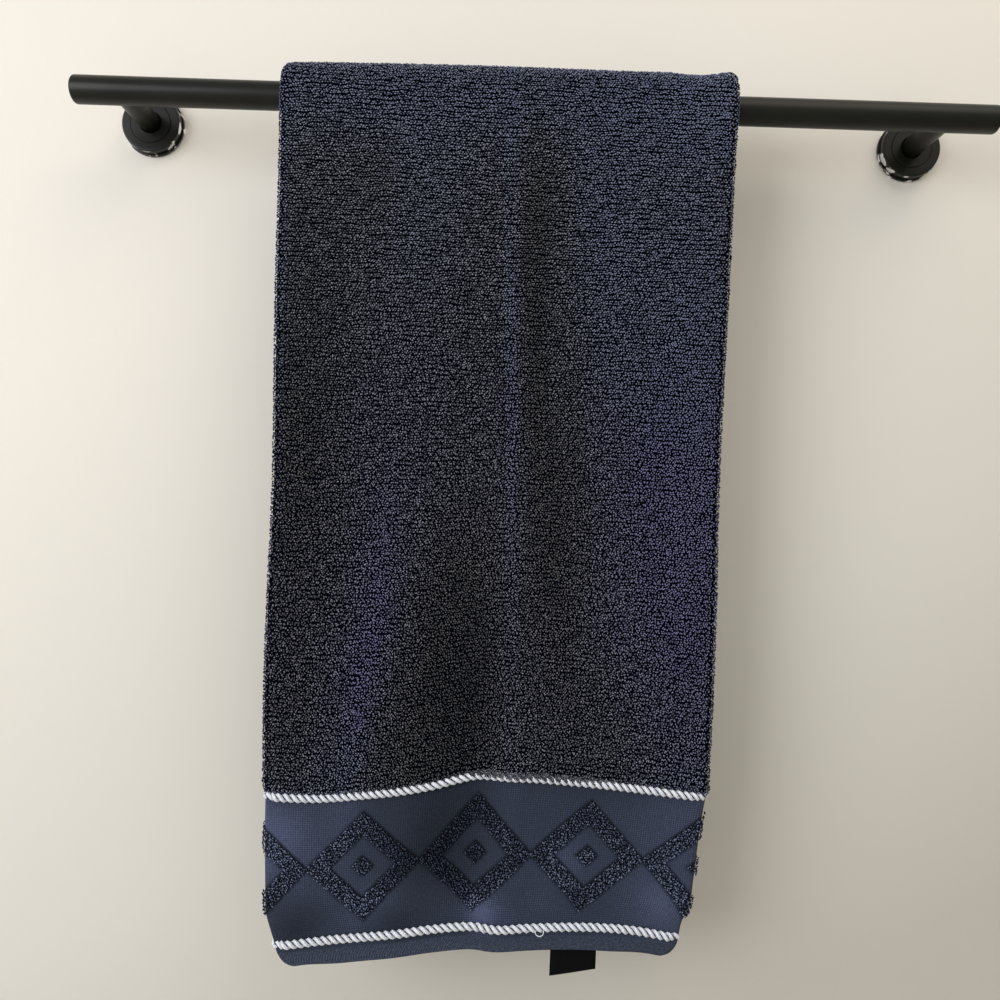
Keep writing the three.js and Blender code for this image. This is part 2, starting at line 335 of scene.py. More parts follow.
def smoothShare(value, start, end):
    share = np.clip((value - start) / (end - start), 0, 1)
    return share * share * (3 - 2 * share)


def lowShare(drop, levels):
    # 0 above the first level of the front, 1 below the second
    return smoothShare(drop, frontDrop(levels[0]), frontDrop(levels[1]))


def fluteRelief(flutes, x, level):
    relief = np.zeros(np.shape(x))
    for start, end, startX, endX, height, width in flutes:
        along = np.clip((level - start) / (end - start), 0, 1)
        middle = startX + (endX - startX) * along
        fullness = np.sin(math.pi * along).clip(0) ** fluteFullness
        relief += height * fullness * np.exp(-(((x - middle) / width) ** 2))
    return relief


def clothPoint(drop, lane, offset=0.0):
    # drop runs from the rear hem over the bar to the front hem, in millimetres of cloth;
    # lane 0-1 left side turned in, 1-2 left fold, 2-3 front panel, 3-4 right fold, 4-5 right side turned in
    drop, lane, offset = np.broadcast_arrays(*[np.asarray(v, float) for v in (drop, lane, offset)])
    lane = np.clip(lane, 0, 5 - 1e-9)
    turn = math.pi * np.clip((drop - rearLength) / crownLength, 0, 1)
    onFront = drop > rearLength + crownLength / 2
    level = np.where(onFront, np.minimum(frontStart - drop, 0), np.minimum(drop - rearLength, 0))
    inBorder = smoothShare(level, *towel["borderLevels"]) * onFront
    inHem = smoothShare(level, *towel["hemLevels"]) * onFront

    def rowValue(column):
        hung = np.where(onFront, readRows(frontRows, column, level), readRows(rearRows, column, level))
        return hung + (readRows(borderRows, column, level) - hung) * inBorder

    thickness = towel["terryThickness"] + (towel["borderThickness"] - towel["terryThickness"]) * inBorder
    thickness = thickness + (towel["hemThickness"] - towel["borderThickness"]) * inHem
    hemEnd = np.where(onFront, towel["frontHemEnd"], towel["rearHemEnd"])
    inset = readRows(cornerRows, 1, level - hemEnd)
    gap = towel["layerGap"] + towel["crownRise"] * np.sin(turn) ** 2
    fold = gap / 2
    left = -rowValue(1) + inset + thickness / 2
    right = rowValue(2) - inset - thickness / 2
    leftEdge, rightEdge = rowValue(3), rowValue(4)
    leftCentre, rightCentre = left + fold, right - fold
    part = np.floor(lane).astype(int)
    share = lane - part
    leftAngle = -math.pi / 2 - math.pi * share
    rightAngle = math.pi / 2 - math.pi * share
    zero = np.zeros(drop.shape)
    x = np.choose(part, [
        leftEdge + (leftCentre - leftEdge) * share,
        leftCentre + fold * np.cos(leftAngle),
        leftCentre + (rightCentre - leftCentre) * share,
        rightCentre + fold * np.cos(rightAngle),
        rightCentre + (rightEdge - rightCentre) * share,
    ])
    n = np.choose(part, [-gap, fold * (np.sin(leftAngle) - 1), zero, fold * (np.sin(rightAngle) - 1), -gap])
    x = x + offset * np.choose(part, [zero, np.cos(leftAngle), zero, np.cos(rightAngle), zero])
    n = n + offset * np.choose(part, [zero - 1, np.sin(leftAngle), zero + 1, np.sin(rightAngle), zero - 1])
    across = np.clip(x / np.where(x < 0, -left, right), -1, 1)
    outerShare = np.clip(1 + n / gap, 0, 1)
    crown = readRows(crownRows, 1, across) * outerShare
    relief = np.where(onFront, fluteRelief(frontFlutes, x, level), fluteRelief(rearFlutes, x, level))
    radius = flapGround + gap + n + crown * np.sin(turn) ** 2 + relief
    upperShare = smoothShare(level, towel["riseStart"], towel["cordUpper"]) * onFront
    lowerShare = smoothShare(level, towel["cordUpper"], towel["cordLower"])
    upperRise, lowerRise = readRows(riseRows, 1, across), readRows(riseRows, 2, across)
    rise = upperShare * (upperRise + (lowerRise - upperRise) * lowerShare)
    atHem = onFront * smoothShare(level, towel["cordLower"], towel["frontHemEnd"])
    for side, lift, start, end in cornerLifts:
        rise = rise + atHem * lift * smoothShare(across * side, start, end)
    y = radius * np.cos(turn) - towel["barFromWall"]
    z = radius * np.sin(turn) + level + rise
    return np.stack([towel["centre"] + x, y, z], -1)


# painted light and shade: patches where the cloth and its pile are painted lighter or darker, for the light
# and shade of folds, creases and brushed nap:
# across, level, reach across, reach down, change and how far the patch leans with the level
frontPaintedLight = [
    (0, 0, 500, 60, 0.2, 0),
    (-200, -230, 7, 300, 0.26, 0),
    (185, -8, 28, 32, 0.3, 0),
    (-70, -110, 45, 80, 0.12, 0),
    (90, -110, 30, 90, 0.14, 0),
    (165, -330, 50, 420, 0.2, 0),
    (95, -230, 36, 200, 0.08, 0),
    (-175, -330, 42, 170, -0.24, 0),
    (11, -230, 6, 270, 0.24, -0.032),
    (32, -200, 13, 150, -0.2, -0.032),
    (60, -400, 32, 150, -0.24, 0),
    (-36, -560, 38, 150, -0.38, 0),
    (-8, -540, 16, 130, -0.12, 0),
    (-93, -600, 24, 70, -0.14, 0),
    (-108, -500, 17, 130, 0.26, 0.12),
    (-180, -570, 22, 100, -0.14, 0),
    (110, -590, 70, 90, -0.14, 0),
    (-185, -655, 28, 40, 0.32, 0),
    (-100, -725, 26, 16, 0.12, 0),
    (160, -725, 20, 20, 0.14, 0),
    (-45, -684, 42, 42, -0.24, 0),
    (-158, -728, 30, 14, -0.2, 0),
    (-165, -744, 25, 12, -0.28, 0),
    (-75, -744, 22, 14, -0.28, 0),
    (0, -740, 14, 18, 0.38, 0),
    (100, -735, 26, 20, -0.08, 0),
    (75, -690, 20, 24, 0.12, 0),
    (-5, -380, 80, 230, -0.06, 0),
    (180, -300, 26, 150, 0.1, 0),
    (-118, -85, 25, 40, -0.08, 0),
    (40, -90, 22, 50, -0.07, 0),
]
rearPaintedLight = [
    (90, -120, 60, 160, 0.15, 0), (-120, -300, 70, 150, -0.18, 0.05), (20, -430, 50, 100, 0.12, 0),
    (0, 0, 500, 50, 0.15, 0),
]


# the painted light and shade of the cloth and its pile, 0.5 where none is painted
def paintedLightTone(drop, lane):
    across = clothPoint(drop, lane)[..., 0] - towel["centre"]
    tone = np.full(across.shape, 0.5)
    onFront = drop > rearLength + crownLength / 2
    faces = ((frontPaintedLight, onFront, frontStart - drop), (rearPaintedLight, ~onFront, drop - rearLength))
    for patches, here, level in faces:
        for x, z, reachX, reachZ, change, lean in patches:
            aside = (across - x - lean * (level - z)) / reachX
            tone += here * change * np.exp(-(aside ** 2) - ((level - z) / reachZ) ** 2)
    return np.clip(tone, 0, 1)


def unit(vectors):
    return vectors / np.linalg.norm(vectors, axis=-1, keepdims=True)


def clothFrame(drop, lane):
    # which way the cloth's outer face looks, and which way its weft runs
    weft = unit(clothPoint(drop, lane + 0.004) - clothPoint(drop, lane - 0.004))
    warp = unit(clothPoint(drop + 1, lane) - clothPoint(drop - 1, lane))
    return unit(np.cross(warp, weft)), weft


def laneTable(level=-280):
    # places along the lanes, and the distance around the section to each of them, at one level of the front
    lanes = np.linspace(0, 5, 501)
    points = clothPoint(frontDrop(level), lanes)
    steps = np.linalg.norm(np.diff(points, axis=0), axis=1)
    return lanes, np.concatenate([[0], np.cumsum(steps)])


lanesKnown, aroundKnown = laneTable()
aroundLength = aroundKnown[-1]


def laneAt(around):
    return np.interp(around, aroundKnown, lanesKnown)


def aroundAt(lane):
    return np.interp(lane, lanesKnown, aroundKnown)


print("shape: drop", round(dropLength), "mm, around", round(aroundLength), "mm")

# ---- cloth finishes

motif = {
    "middle": -688,         # level of the chain's centre line
    "halfWidth": 42,
    "halfHeight": 40,
    "period": 104,
    "stroke": 15.5,
    "heart": 0.24,          # the small solid lozenge in each one, as a share of it
    "shift": 30,            # of the middle lozenge, to the left
    "fromCord": 8,          # bare weave left beside each cord
    "shade": 0.88,          # painted shade: how much darker the weave is painted under the strokes
    "shadeReach": 3,        # and how far beside them that fades away
    "shadeInside": 1.5,
}

terryLook = {
    "tintShare": 0.5,       # how far one loop may differ from the next
    "greyTone": 0.36,       # loops are painted greyest where the painted light is this low
    "fullTone": 0.76,       # and fully coloured where it is this high
    "fullColour": 1.08,
    "violet": 0.036,        # how far the hue drifts lower down, as a share of the colour circle
    "violetLevels": (-200, -360),
    "borderLevels": (-640, -540),   # the border's motif has none of that drift
    # painted shade: each loop is painted dark toward its foot, for the shade in the hollows of the pile
    "paintedShadeColour": "#030818",
    "paintedShadeCrown": 0.5,     # up to this share of a loop only the painted shade's colour shows
    "unshadedCrown": 0.96,      # and from this share on only the loop's own, unshaded
}


def makeTerryLoops(name, steps, greyest):
    # Ring-spun cotton terry, looped pile: matt, each loop pale at its top and painted dark toward its foot,
    # as painted shade in the hollows between loops.
    # Where the painted light of folds and nap is low its loops are painted greyer, and lower down they look
    # more violet.
    look = terryLook
    material, tree, shader = newMaterial(name)
    tint, crown, tone = [addNode(tree, "ShaderNodeAttribute", {"attribute_name": mark}).outputs["Fac"]
                         for mark in ("tint", "crown", "tone")]
    place = addNode(tree, "ShaderNodeTexCoord").outputs["Object"]
    toned = addNode(tree, "ShaderNodeMath", {"operation": "MULTIPLY_ADD"},
                    {0: tint, 1: look["tintShare"], 2: tone})
    loop = colourSteps(tree, toned, steps)
    # painted shade: loops are painted greyer where the painted light is low
    greyed = addNode(tree, "ShaderNodeMapRange", inputs={
        "Value": tone, 1: look["greyTone"], 2: look["fullTone"], 3: greyest, 4: look["fullColour"]})
    height = addNode(tree, "ShaderNodeSeparateXYZ", inputs={0: place}).outputs[2]
    drifts = []
    for levels, most in ((look["violetLevels"], look["violet"]), (look["borderLevels"], 1.0)):
        drifts.append(addNode(tree, "ShaderNodeMapRange", {"interpolation_type": "SMOOTHSTEP"},
                              {"Value": height, 1: levels[0] * mm, 2: levels[1] * mm, 3: 0.0, 4: most}))
    hue = addNode(tree, "ShaderNodeMath", {"operation": "MULTIPLY_ADD"},
                  {0: drifts[0], 1: drifts[1], 2: 0.5})
    hued = addNode(tree, "ShaderNodeHueSaturation", inputs={"Hue": hue, "Saturation": greyed, "Color": loop})
    # painted shade: dark toward the foot of each loop
    paintedShadeShare = addNode(tree, "ShaderNodeMapRange", inputs={
        "Value": crown, 1: look["paintedShadeCrown"], 2: look["unshadedCrown"], 3: 0.0, 4: 1.0})
    mix = addNode(tree, "ShaderNodeMix", {"data_type": "RGBA"},
                  {0: paintedShadeShare, 6: linear(look["paintedShadeColour"]), 7: hued})
    fibre = addNode(tree, "ShaderNodeTexNoise",
                    inputs={"Vector": place, "Scale": grainScale(0.625), "Detail": 1.0})
    bump = addNode(tree, "ShaderNodeBump", inputs={"Strength": 0.4, "Distance": 0.0004, "Height": fibre})
    dressShader(tree, shader, mix.outputs[2], bump, 0.95, 0.03)
    return material


def makeTerryGround():
    # The ground of the terry, seen between the loops: navy woven cotton painted near black, as painted shade
    # between the loops.
    material, tree, shader = newMaterial("cottonTerryGround")
    place = addNode(tree, "ShaderNodeTexCoord").outputs["Object"]
    cells = addNode(tree, "ShaderNodeTexVoronoi", inputs={"Vector": place, "Scale": grainScale(3.03)})
    colour = colourSteps(tree, cells, [(0.0, "#0a0e1c"), (0.45, "#050812"), (1.0, "#02040c")])
    bump = addNode(tree, "ShaderNodeBump", {"invert": True},
                   {"Strength": 1.0, "Distance": 0.0015, "Height": cells})
    dressShader(tree, shader, colour, bump, 0.95, 0.03)
    return material


def motifShade(tree, place):
    # painted shade: how far the raised motif would keep the light off the weave, painted under it and close
    # beside it
    at = addNode(tree, "ShaderNodeSeparateXYZ", inputs={0: place})
    perWidth, perHeight = 1 / motif["halfWidth"], 1 / motif["halfHeight"]
    slope = math.hypot(perWidth, perHeight)
    fromCentre = addNode(tree, "ShaderNodeMath", {"operation": "SUBTRACT"},
                         {0: at.outputs[0], 1: (aroundLength / 2 - motif["shift"]) * mm})
    across = addNode(tree, "ShaderNodeMath", {"operation": "PINGPONG"},
                     {0: fromCentre, 1: motif["period"] / 2 * mm})
    fromMiddle = addNode(tree, "ShaderNodeMath", {"operation": "SUBTRACT"},
                         {0: at.outputs[1], 1: frontDrop(motif["middle"]) * mm})
    down = addNode(tree, "ShaderNodeMath", {"operation": "ABSOLUTE"}, {0: fromMiddle})
    downShare = addNode(tree, "ShaderNodeMath", {"operation": "MULTIPLY"}, {0: down, 1: perHeight / mm})
    reach = addNode(tree, "ShaderNodeMath", {"operation": "MULTIPLY_ADD"},
                    {0: across, 1: perWidth / mm, 2: downShare})
    fromStroke = addNode(tree, "ShaderNodeMath", {"operation": "SUBTRACT"}, {0: reach, 1: 1.0})
    beside = addNode(tree, "ShaderNodeMath", {"operation": "ABSOLUTE"}, {0: fromStroke})
    besideStroke = addNode(tree, "ShaderNodeMath", {"operation": "SUBTRACT"},
                           {0: beside, 1: motif["stroke"] / 2 * slope})
    besideHeart = addNode(tree, "ShaderNodeMath", {"operation": "SUBTRACT"}, {0: reach, 1: motif["heart"]})
    nearest = addNode(tree, "ShaderNodeMath", {"operation": "MINIMUM"}, {0: besideStroke, 1: besideHeart})
    shade = addNode(tree, "ShaderNodeMapRange", {"interpolation_type": "SMOOTHSTEP"}, {
        "Value": nearest, 1: -motif["shadeInside"] * slope, 2: motif["shadeReach"] * slope,
        3: motif["shade"], 4: 0.0})
    outerFace = addNode(tree, "ShaderNodeAttribute", {"attribute_name": "outerFace"}).outputs["Fac"]
    return addNode(tree, "ShaderNodeMath", {"operation": "MULTIPLY"}, {0: shade, 1: outerFace})


def makeBorderWeave():
    # Plain-woven cotton border: flat and close, a fine grid of warp and weft that shows in patches.
    # Its threads are drawn at 2.1 mm, about the finest that shows.
    material, tree, shader = newMaterial("cottonPlainWeave")
    place = addNode(tree, "ShaderNodeUVMap", {"uv_map": "clothMap"}).outputs[0]
    threads = []
    for axis, pitch in (("X", 2.15), ("Y", 2.0)):
        wave = addNode(tree, "ShaderNodeTexWave", {"bands_direction": axis}, {
            "Vector": place, "Scale": bandScale(pitch), "Distortion": 1.2, "Detail": 2.0,
            "Detail Scale": 2.0})
        threads.append(wave.outputs["Fac"])
    grid = addNode(tree, "ShaderNodeMath", {"operation": "ADD"}, {0: threads[0], 1: threads[1]})
    patch = addNode(tree, "ShaderNodeTexNoise",
                    inputs={"Vector": place, "Scale": grainScale(22), "Detail": 2.0})
    shown = addNode(tree, "ShaderNodeMapRange", inputs={"Value": patch, 1: 0.4, 2: 0.65, 3: 0.25, 4: 1.0})
    centred = addNode(tree, "ShaderNodeMath", {"operation": "SUBTRACT"}, {0: grid, 1: 1.0})
    faded = addNode(tree, "ShaderNodeMath", {"operation": "MULTIPLY"}, {0: centred, 1: shown})
    slub = addNode(tree, "ShaderNodeMapping",
                   inputs={"Vector": place, "Scale": (grainScale(1.429), grainScale(3.85), 1)})
    uneven = addNode(tree, "ShaderNodeTexNoise", inputs={"Vector": slub, "Scale": 1.0, "Detail": 3.0})
    # tone: the painted light and shade of folds and nap, which sets much of the weave's colour
    tone = addNode(tree, "ShaderNodeAttribute", {"attribute_name": "tone"}).outputs["Fac"]
    woven = addNode(tree, "ShaderNodeMath", {"operation": "MULTIPLY_ADD"}, {0: faded, 1: 0.22, 2: tone})
    mixed = addNode(tree, "ShaderNodeMath", {"operation": "MULTIPLY_ADD"}, {0: uneven, 1: 0.34, 2: woven})
    weave = colourSteps(tree, mixed, [(0.2, "#1a202a"), (0.67, "#343c4d"), (1.0, "#555d7b")])
    # the weave painted near black under and beside the raised motif, as painted shade
    shaded = addNode(tree, "ShaderNodeMix", {"data_type": "RGBA"},
                     {0: motifShade(tree, place), 6: weave, 7: linear("#05070c")})
    bump = addNode(tree, "ShaderNodeBump", inputs={"Strength": 0.5, "Distance": 0.0004, "Height": grid})
    dressShader(tree, shader, shaded.outputs[2], bump, 0.85, 0.2)
    return material


def makeHemTwill():
    # Folded hem in cotton twill: a fine diagonal rib, a little paler than the border.
    # Its ribs are drawn at 2 mm, about the finest that shows.
    material, tree, shader = newMaterial("cottonTwillHem")
    place = addNode(tree, "ShaderNodeUVMap", {"uv_map": "clothMap"}).outputs[0]
    turned = addNode(tree, "ShaderNodeMapping",
                     inputs={"Vector": place, "Rotation": (0, 0, math.radians(-42))})
    wave = addNode(tree, "ShaderNodeTexWave", {"bands_direction": "X"}, {
        "Vector": turned, "Scale": bandScale(2.0), "Distortion": 2.0, "Detail": 2.0, "Detail Scale": 2.0})
    rib = wave.outputs["Fac"]
    drift = addNode(tree, "ShaderNodeTexNoise",
                    inputs={"Vector": place, "Scale": grainScale(2), "Detail": 3.0})
    tone = addNode(tree, "ShaderNodeMath", {"operation": "MULTIPLY_ADD"}, {0: rib, 1: 0.3, 2: drift})
    colour = colourSteps(tree, tone, [(0.3, "#1e252f"), (0.67, "#3a4251"), (1.0, "#58617a")])
    bump = addNode(tree, "ShaderNodeBump", inputs={"Strength": 0.6, "Distance": 0.0004, "Height": rib})
    dressShader(tree, shader, colour, bump, 0.85, 0.2)
    return material


def makeCordCotton():
    # Mercerised white cotton cord: soft shine on the strands, painted grey shade in the grooves between them
    # and painted paler on their crests.
    # The noise stands for the yarns' own twist, drawn at about 1.3 mm so that it shows.
    material, tree, shader = newMaterial("mercerisedCottonCord")
    place = addNode(tree, "ShaderNodeTexCoord").outputs["Object"]
    # proud: how far a yarn stands out of its groove, which sets the painted groove shade
    proud = addNode(tree, "ShaderNodeAttribute", {"attribute_name": "proud"}).outputs["Fac"]
    yarn = addNode(tree, "ShaderNodeTexNoise",
                   inputs={"Vector": place, "Scale": grainScale(1.333), "Detail": 2.0})
    tone = addNode(tree, "ShaderNodeMath", {"operation": "MULTIPLY_ADD"}, {0: yarn, 1: 1.3, 2: proud})
    half = addNode(tree, "ShaderNodeMath", {"operation": "MULTIPLY"}, {0: tone, 1: 0.5})
    colour = colourSteps(tree, half, [(0.3, "#4a5062"), (0.52, "#b4bbd0"), (0.74, "#f6faff")])
    bump = addNode(tree, "ShaderNodeBump", inputs={"Strength": 0.8, "Distance": 0.0006, "Height": yarn})
    dressShader(tree, shader, colour, bump, 0.6, 0.5)
    shader.inputs["Sheen Weight"].default_value = 0.1
    return material


def makeLabelRibbon():
    # Black polyester ribbon, its dull side out: smooth, with fine cross ribs.
    material, tree, shader = newMaterial("polyesterRibbon")
    place = addNode(tree, "ShaderNodeTexCoord").outputs["Object"]
    wave = addNode(tree, "ShaderNodeTexWave", {"bands_direction": "Z"},
                   {"Vector": place, "Scale": bandScale(1.2), "Distortion": 0.3})
    rib = wave.outputs["Fac"]
    colour = colourSteps(tree, rib, [(0.0, "#030304"), (1.0, "#08090a")])
    bump = addNode(tree, "ShaderNodeBump", inputs={"Strength": 0.25, "Distance": 0.0002, "Height": rib})
    dressShader(tree, shader, colour, bump, 0.8, 0.12)
    return material


terryLoops = makeTerryLoops("cottonTerryLoops", [(0.2, "#343842"), (0.75, "#676f86"), (1.0, "#9fa9c7")], 0.2)
motifLoops = makeTerryLoops("cottonTerryMotif", [(0.2, "#2c3242"), (0.75, "#616c87"), (1.0, "#9caacb")], 0.9)
terryGround = makeTerryGround()
borderWeave = makeBorderWeave()
hemTwill = makeHemTwill()
cordCotton = makeCordCotton()
labelRibbon = makeLabelRibbon()
print("cloth finishes made")

# ---- the cloth itself

clothMake = {
    "terryHalf": 1.2,       # half thicknesses, of the ground under the pile and of the rest
    "borderHalf": 1.3,
    "hemHalf": 2.0,
    "sideHemHalf": 1.9,
    "sideHemWidth": 11,     # the selvedges are turned and stitched
    "edgeRound": 1.0,
    "dropStep": 12,
    "borderStep": 5,
    "aroundStep": 9,
    "foldSteps": 8,
    "hemUps": [0, 0.5, 1.2, 2.2, 4.0, 6.5, 9.5, 12.5],      # rings close to the end of a hem
}


def clothStations():
    make = clothMake
    closeFrom = frontDrop(towel["closeFrom"])
    plain = np.arange(towel["hemHeight"] + 1.5, closeFrom, make["dropStep"])
    border = np.arange(closeFrom, dropLength - towel["hemHeight"] - 2, make["borderStep"])
    frontHem = [dropLength - up for up in reversed(make["hemUps"])]
    return np.array([*make["hemUps"], *plain, *border, *frontHem])


def clothLanes():
    make = clothMake
    lanes = []
    for part in range(5):
        length = aroundAt(part + 1) - aroundAt(part)
        steps = make["foldSteps"] if part in (1, 3) else math.ceil(length / make["aroundStep"])
        lanes += list(part + np.arange(steps) / steps)
    left, right = make["sideHemWidth"], aroundLength - make["sideHemWidth"]
    lanes += [5.0, *laneAt(np.array([left - 1, left + 0.5, right - 0.5, right + 1]))]
    return np.array(sorted(lanes))


def baseHalf(drop, lane):
    # half thickness of the woven ground
    make = clothMake
    hem, sideHem = towel["hemHeight"], make["sideHemWidth"]
    level = np.where(drop > frontStart, frontStart - drop, 0)
    inBorder = smoothShare(level, *towel["groundLevels"])
    half = make["terryHalf"] + (make["borderHalf"] - make["terryHalf"]) * inBorder
    fromEnd = np.minimum(drop, dropLength - drop)
    half = half + (make["hemHalf"] - half) * smoothShare(fromEnd, hem + 1.5, hem - 0.5)
    fromSide = np.minimum(aroundAt(lane), aroundLength - aroundAt(lane))
    return half + (make["sideHemHalf"] - half).clip(0) * smoothShare(fromSide, sideHem + 0.6, sideHem - 1)


def makeCloth():
    drops, lanes = clothStations(), clothLanes()
    drop, lane = np.meshgrid(drops, lanes, indexing="ij")
    half = baseHalf(drop, lane)
    outer, middle, inner = [clothPoint(drop, lane, offset) for offset in (half, 0.0, -half)]
    roundOut = clothMake["edgeRound"]
    leftBead = middle[:, :1] + unit(middle[:, :1] - middle[:, 1:2]) * roundOut
    rightBead = middle[:, -1:] + unit(middle[:, -1:] - middle[:, -2:-1]) * roundOut
    rings = np.concatenate([leftBead, outer, rightBead, inner[:, ::-1]], 1)
    # the ends close on the middle of the cloth, a little beyond the last ring
    line = np.concatenate([leftBead, middle, rightBead, middle[:, ::-1]], 1)
    rings = np.concatenate([line[:1] + [0, 0, -roundOut], rings, line[-1:] + [0, 0, -roundOut]], 0)
    ringCount, around = rings.shape[:2]
    ringDrop = np.concatenate([[drops[0]], drops, [drops[-1]]])
    ringLane = np.concatenate([[0], lanes, [5], lanes[::-1]])
    ringAround = aroundAt(ringLane)
    mapPoints = np.stack(np.meshgrid(ringAround, ringDrop), -1).reshape(-1, 2)
    # each face is terry, border or hem by where its middle lies
    middleDrop = np.repeat((ringDrop[:-1] + ringDrop[1:]) / 2, around)
    middleAround = np.tile((ringAround + np.roll(ringAround, -1)) / 2, ringCount - 1)
    fromEnd = np.minimum(middleDrop, dropLength - middleDrop)
    fromSide = np.minimum(middleAround, aroundLength - middleAround)
    kinds = np.where(middleDrop > frontDrop(towel["terryEnd"] + 1), 1, 0)
    inHem = (fromEnd < towel["hemHeight"] + 1) | (fromSide < clothMake["sideHemWidth"])
    kinds = np.where(inHem, 2, kinds)
    faced = np.zeros((ringCount, around))
    faced[:, 1:len(lanes) + 1] = 1
    # the painted light and shade of folds and nap, marked on the cloth as its tone
    paintedTones = paintedLightTone(*np.meshgrid(ringDrop, ringLane, indexing="ij"))
    marks = {"tone": paintedTones.ravel(), "outerFace": faced.ravel()}
    finishes = [terryGround, borderWeave, hemTwill]
    faces = ringFaces(ringCount, around)
    return makePiece("towelCloth", rings.reshape(-1, 3), faces, finishes, kinds, mapPoints, marks)


towelCloth = makeCloth()
print("cloth:", len(towelCloth.data.polygons), "faces")

# ---- looped pile


def makePileTree():
    # one small spindle for each loop's top, laid along the given direction, leaned and twisted at random
    tree, given = newTree("loopedPile", "Pile", {
        "Bed": "Geometry", "Loop length": "Float", "Loop girth": "Float", "Twist": "Float", "Lean": "Float",
        "Size spread": "Float", "Seed": "Int", "Finish": "Material"})
    spindle = addNode(tree, "GeometryNodeMeshUVSphere", inputs={"Segments": 4, "Rings": 2, "Radius": 0.5})
    laid = addNode(tree, "GeometryNodeTransform",
                   inputs={"Geometry": spindle, "Rotation": (0, math.pi / 2, 0)})
    # crown: how high up its spindle a point lies, which the loop finishes turn into painted shade low down
    height = addNode(tree, "ShaderNodeSeparateXYZ", inputs={0: addNode(tree, "GeometryNodeInputPosition")})
    crown = addNode(tree, "ShaderNodeMath", {"operation": "ADD"}, {0: height.outputs[2], 1: 0.5})
    marked = addNode(tree, "GeometryNodeStoreNamedAttribute", {"data_type": "FLOAT", "domain": "POINT"},
                     {"Geometry": laid, "Name": "crown", "Value": crown})
    girth = given["Loop girth"]
    size = addNode(tree, "ShaderNodeCombineXYZ", inputs={0: given["Loop length"], 1: girth, 2: girth})
    sized = addNode(tree, "GeometryNodeTransform", inputs={"Geometry": marked, "Scale": size})
    smooth = addNode(tree, "GeometryNodeSetShadeSmooth", inputs={0: sized})
    outward, lay, lengthShare = [
        addNode(tree, "GeometryNodeInputNamedAttribute", {"data_type": kind}, {"Name": mark})
        for mark, kind in (("outward", "FLOAT_VECTOR"), ("lay", "FLOAT_VECTOR"), ("lengthShare", "FLOAT"))]
    upright = addNode(tree, "FunctionNodeAxesToRotation", {"primary_axis": "Z", "secondary_axis": "X"},
                      {0: outward, 1: lay})
    turns = []
    for key, offset in (("Lean", 11.0), ("Twist", 23.0)):
        seed = addNode(tree, "ShaderNodeMath", {"operation": "ADD"}, {0: given["Seed"], 1: offset})
        least = addNode(tree, "ShaderNodeMath", {"operation": "MULTIPLY"}, {0: given[key], 1: -1.0})
        turn = addNode(tree, "FunctionNodeRandomValue", {"data_type": "FLOAT"},
                       {2: least, 3: given[key], "Seed": seed})
        turns.append(turn.outputs[1])
    euler = addNode(tree, "ShaderNodeCombineXYZ", inputs={1: turns[0], 2: turns[1]})
    local = addNode(tree, "FunctionNodeEulerToRotation", inputs={0: euler})
    turned = addNode(tree, "FunctionNodeRotateRotation", {"rotation_space": "LOCAL"}, {0: upright, 1: local})
    least = addNode(tree, "ShaderNodeMath", {"operation": "SUBTRACT"}, {0: 1.0, 1: given["Size spread"]})
    most = addNode(tree, "ShaderNodeMath", {"operation": "ADD"}, {0: 1.0, 1: given["Size spread"]})
    scale = addNode(tree, "FunctionNodeRandomValue", {"data_type": "FLOAT"},
                    {2: least, 3: most, "Seed": given["Seed"]})
    shape = addNode(tree, "ShaderNodeCombineXYZ", inputs={0: lengthShare, 1: 1.0, 2: 1.0})
    scaled = addNode(tree, "ShaderNodeVectorMath", {"operation": "SCALE"},
                     {0: shape, "Scale": scale.outputs[1]})
    points = addNode(tree, "GeometryNodeMeshToPoints", inputs={"Mesh": given["Bed"]})
    placed = addNode(tree, "GeometryNodeInstanceOnPoints",
                     inputs={"Points": points, "Instance": smooth, "Rotation": turned, "Scale": scaled})
    tintSeed = addNode(tree, "ShaderNodeMath", {"operation": "ADD"}, {0: given["Seed"], 1: 47.0})
    tint = addNode(tree, "FunctionNodeRandomValue", {"data_type": "FLOAT"},
                   {2: 0.0, 3: 1.0, "Seed": tintSeed})
    tinted = addNode(tree, "GeometryNodeStoreNamedAttribute", {"data_type": "FLOAT", "domain": "INSTANCE"},
                     {"Geometry": placed, "Name": "tint", "Value": tint.outputs[1]})
    finishTree(tree, tinted, given["Finish"])
    return tree


def layLoops(name, bed, make, seed):
    # loops or stitches of one make, one on each point of the bed
    return runTree(name, bed, pileTree, {
        "Loop length": make["length"] * mm, "Loop girth": make["girth"] * mm, "Twist": make["twist"],
        "Lean": make["lean"], "Size spread": make["sizeSpread"], "Seed": seed, "Finish": make["finish"]})


pileTree = makePileTree()

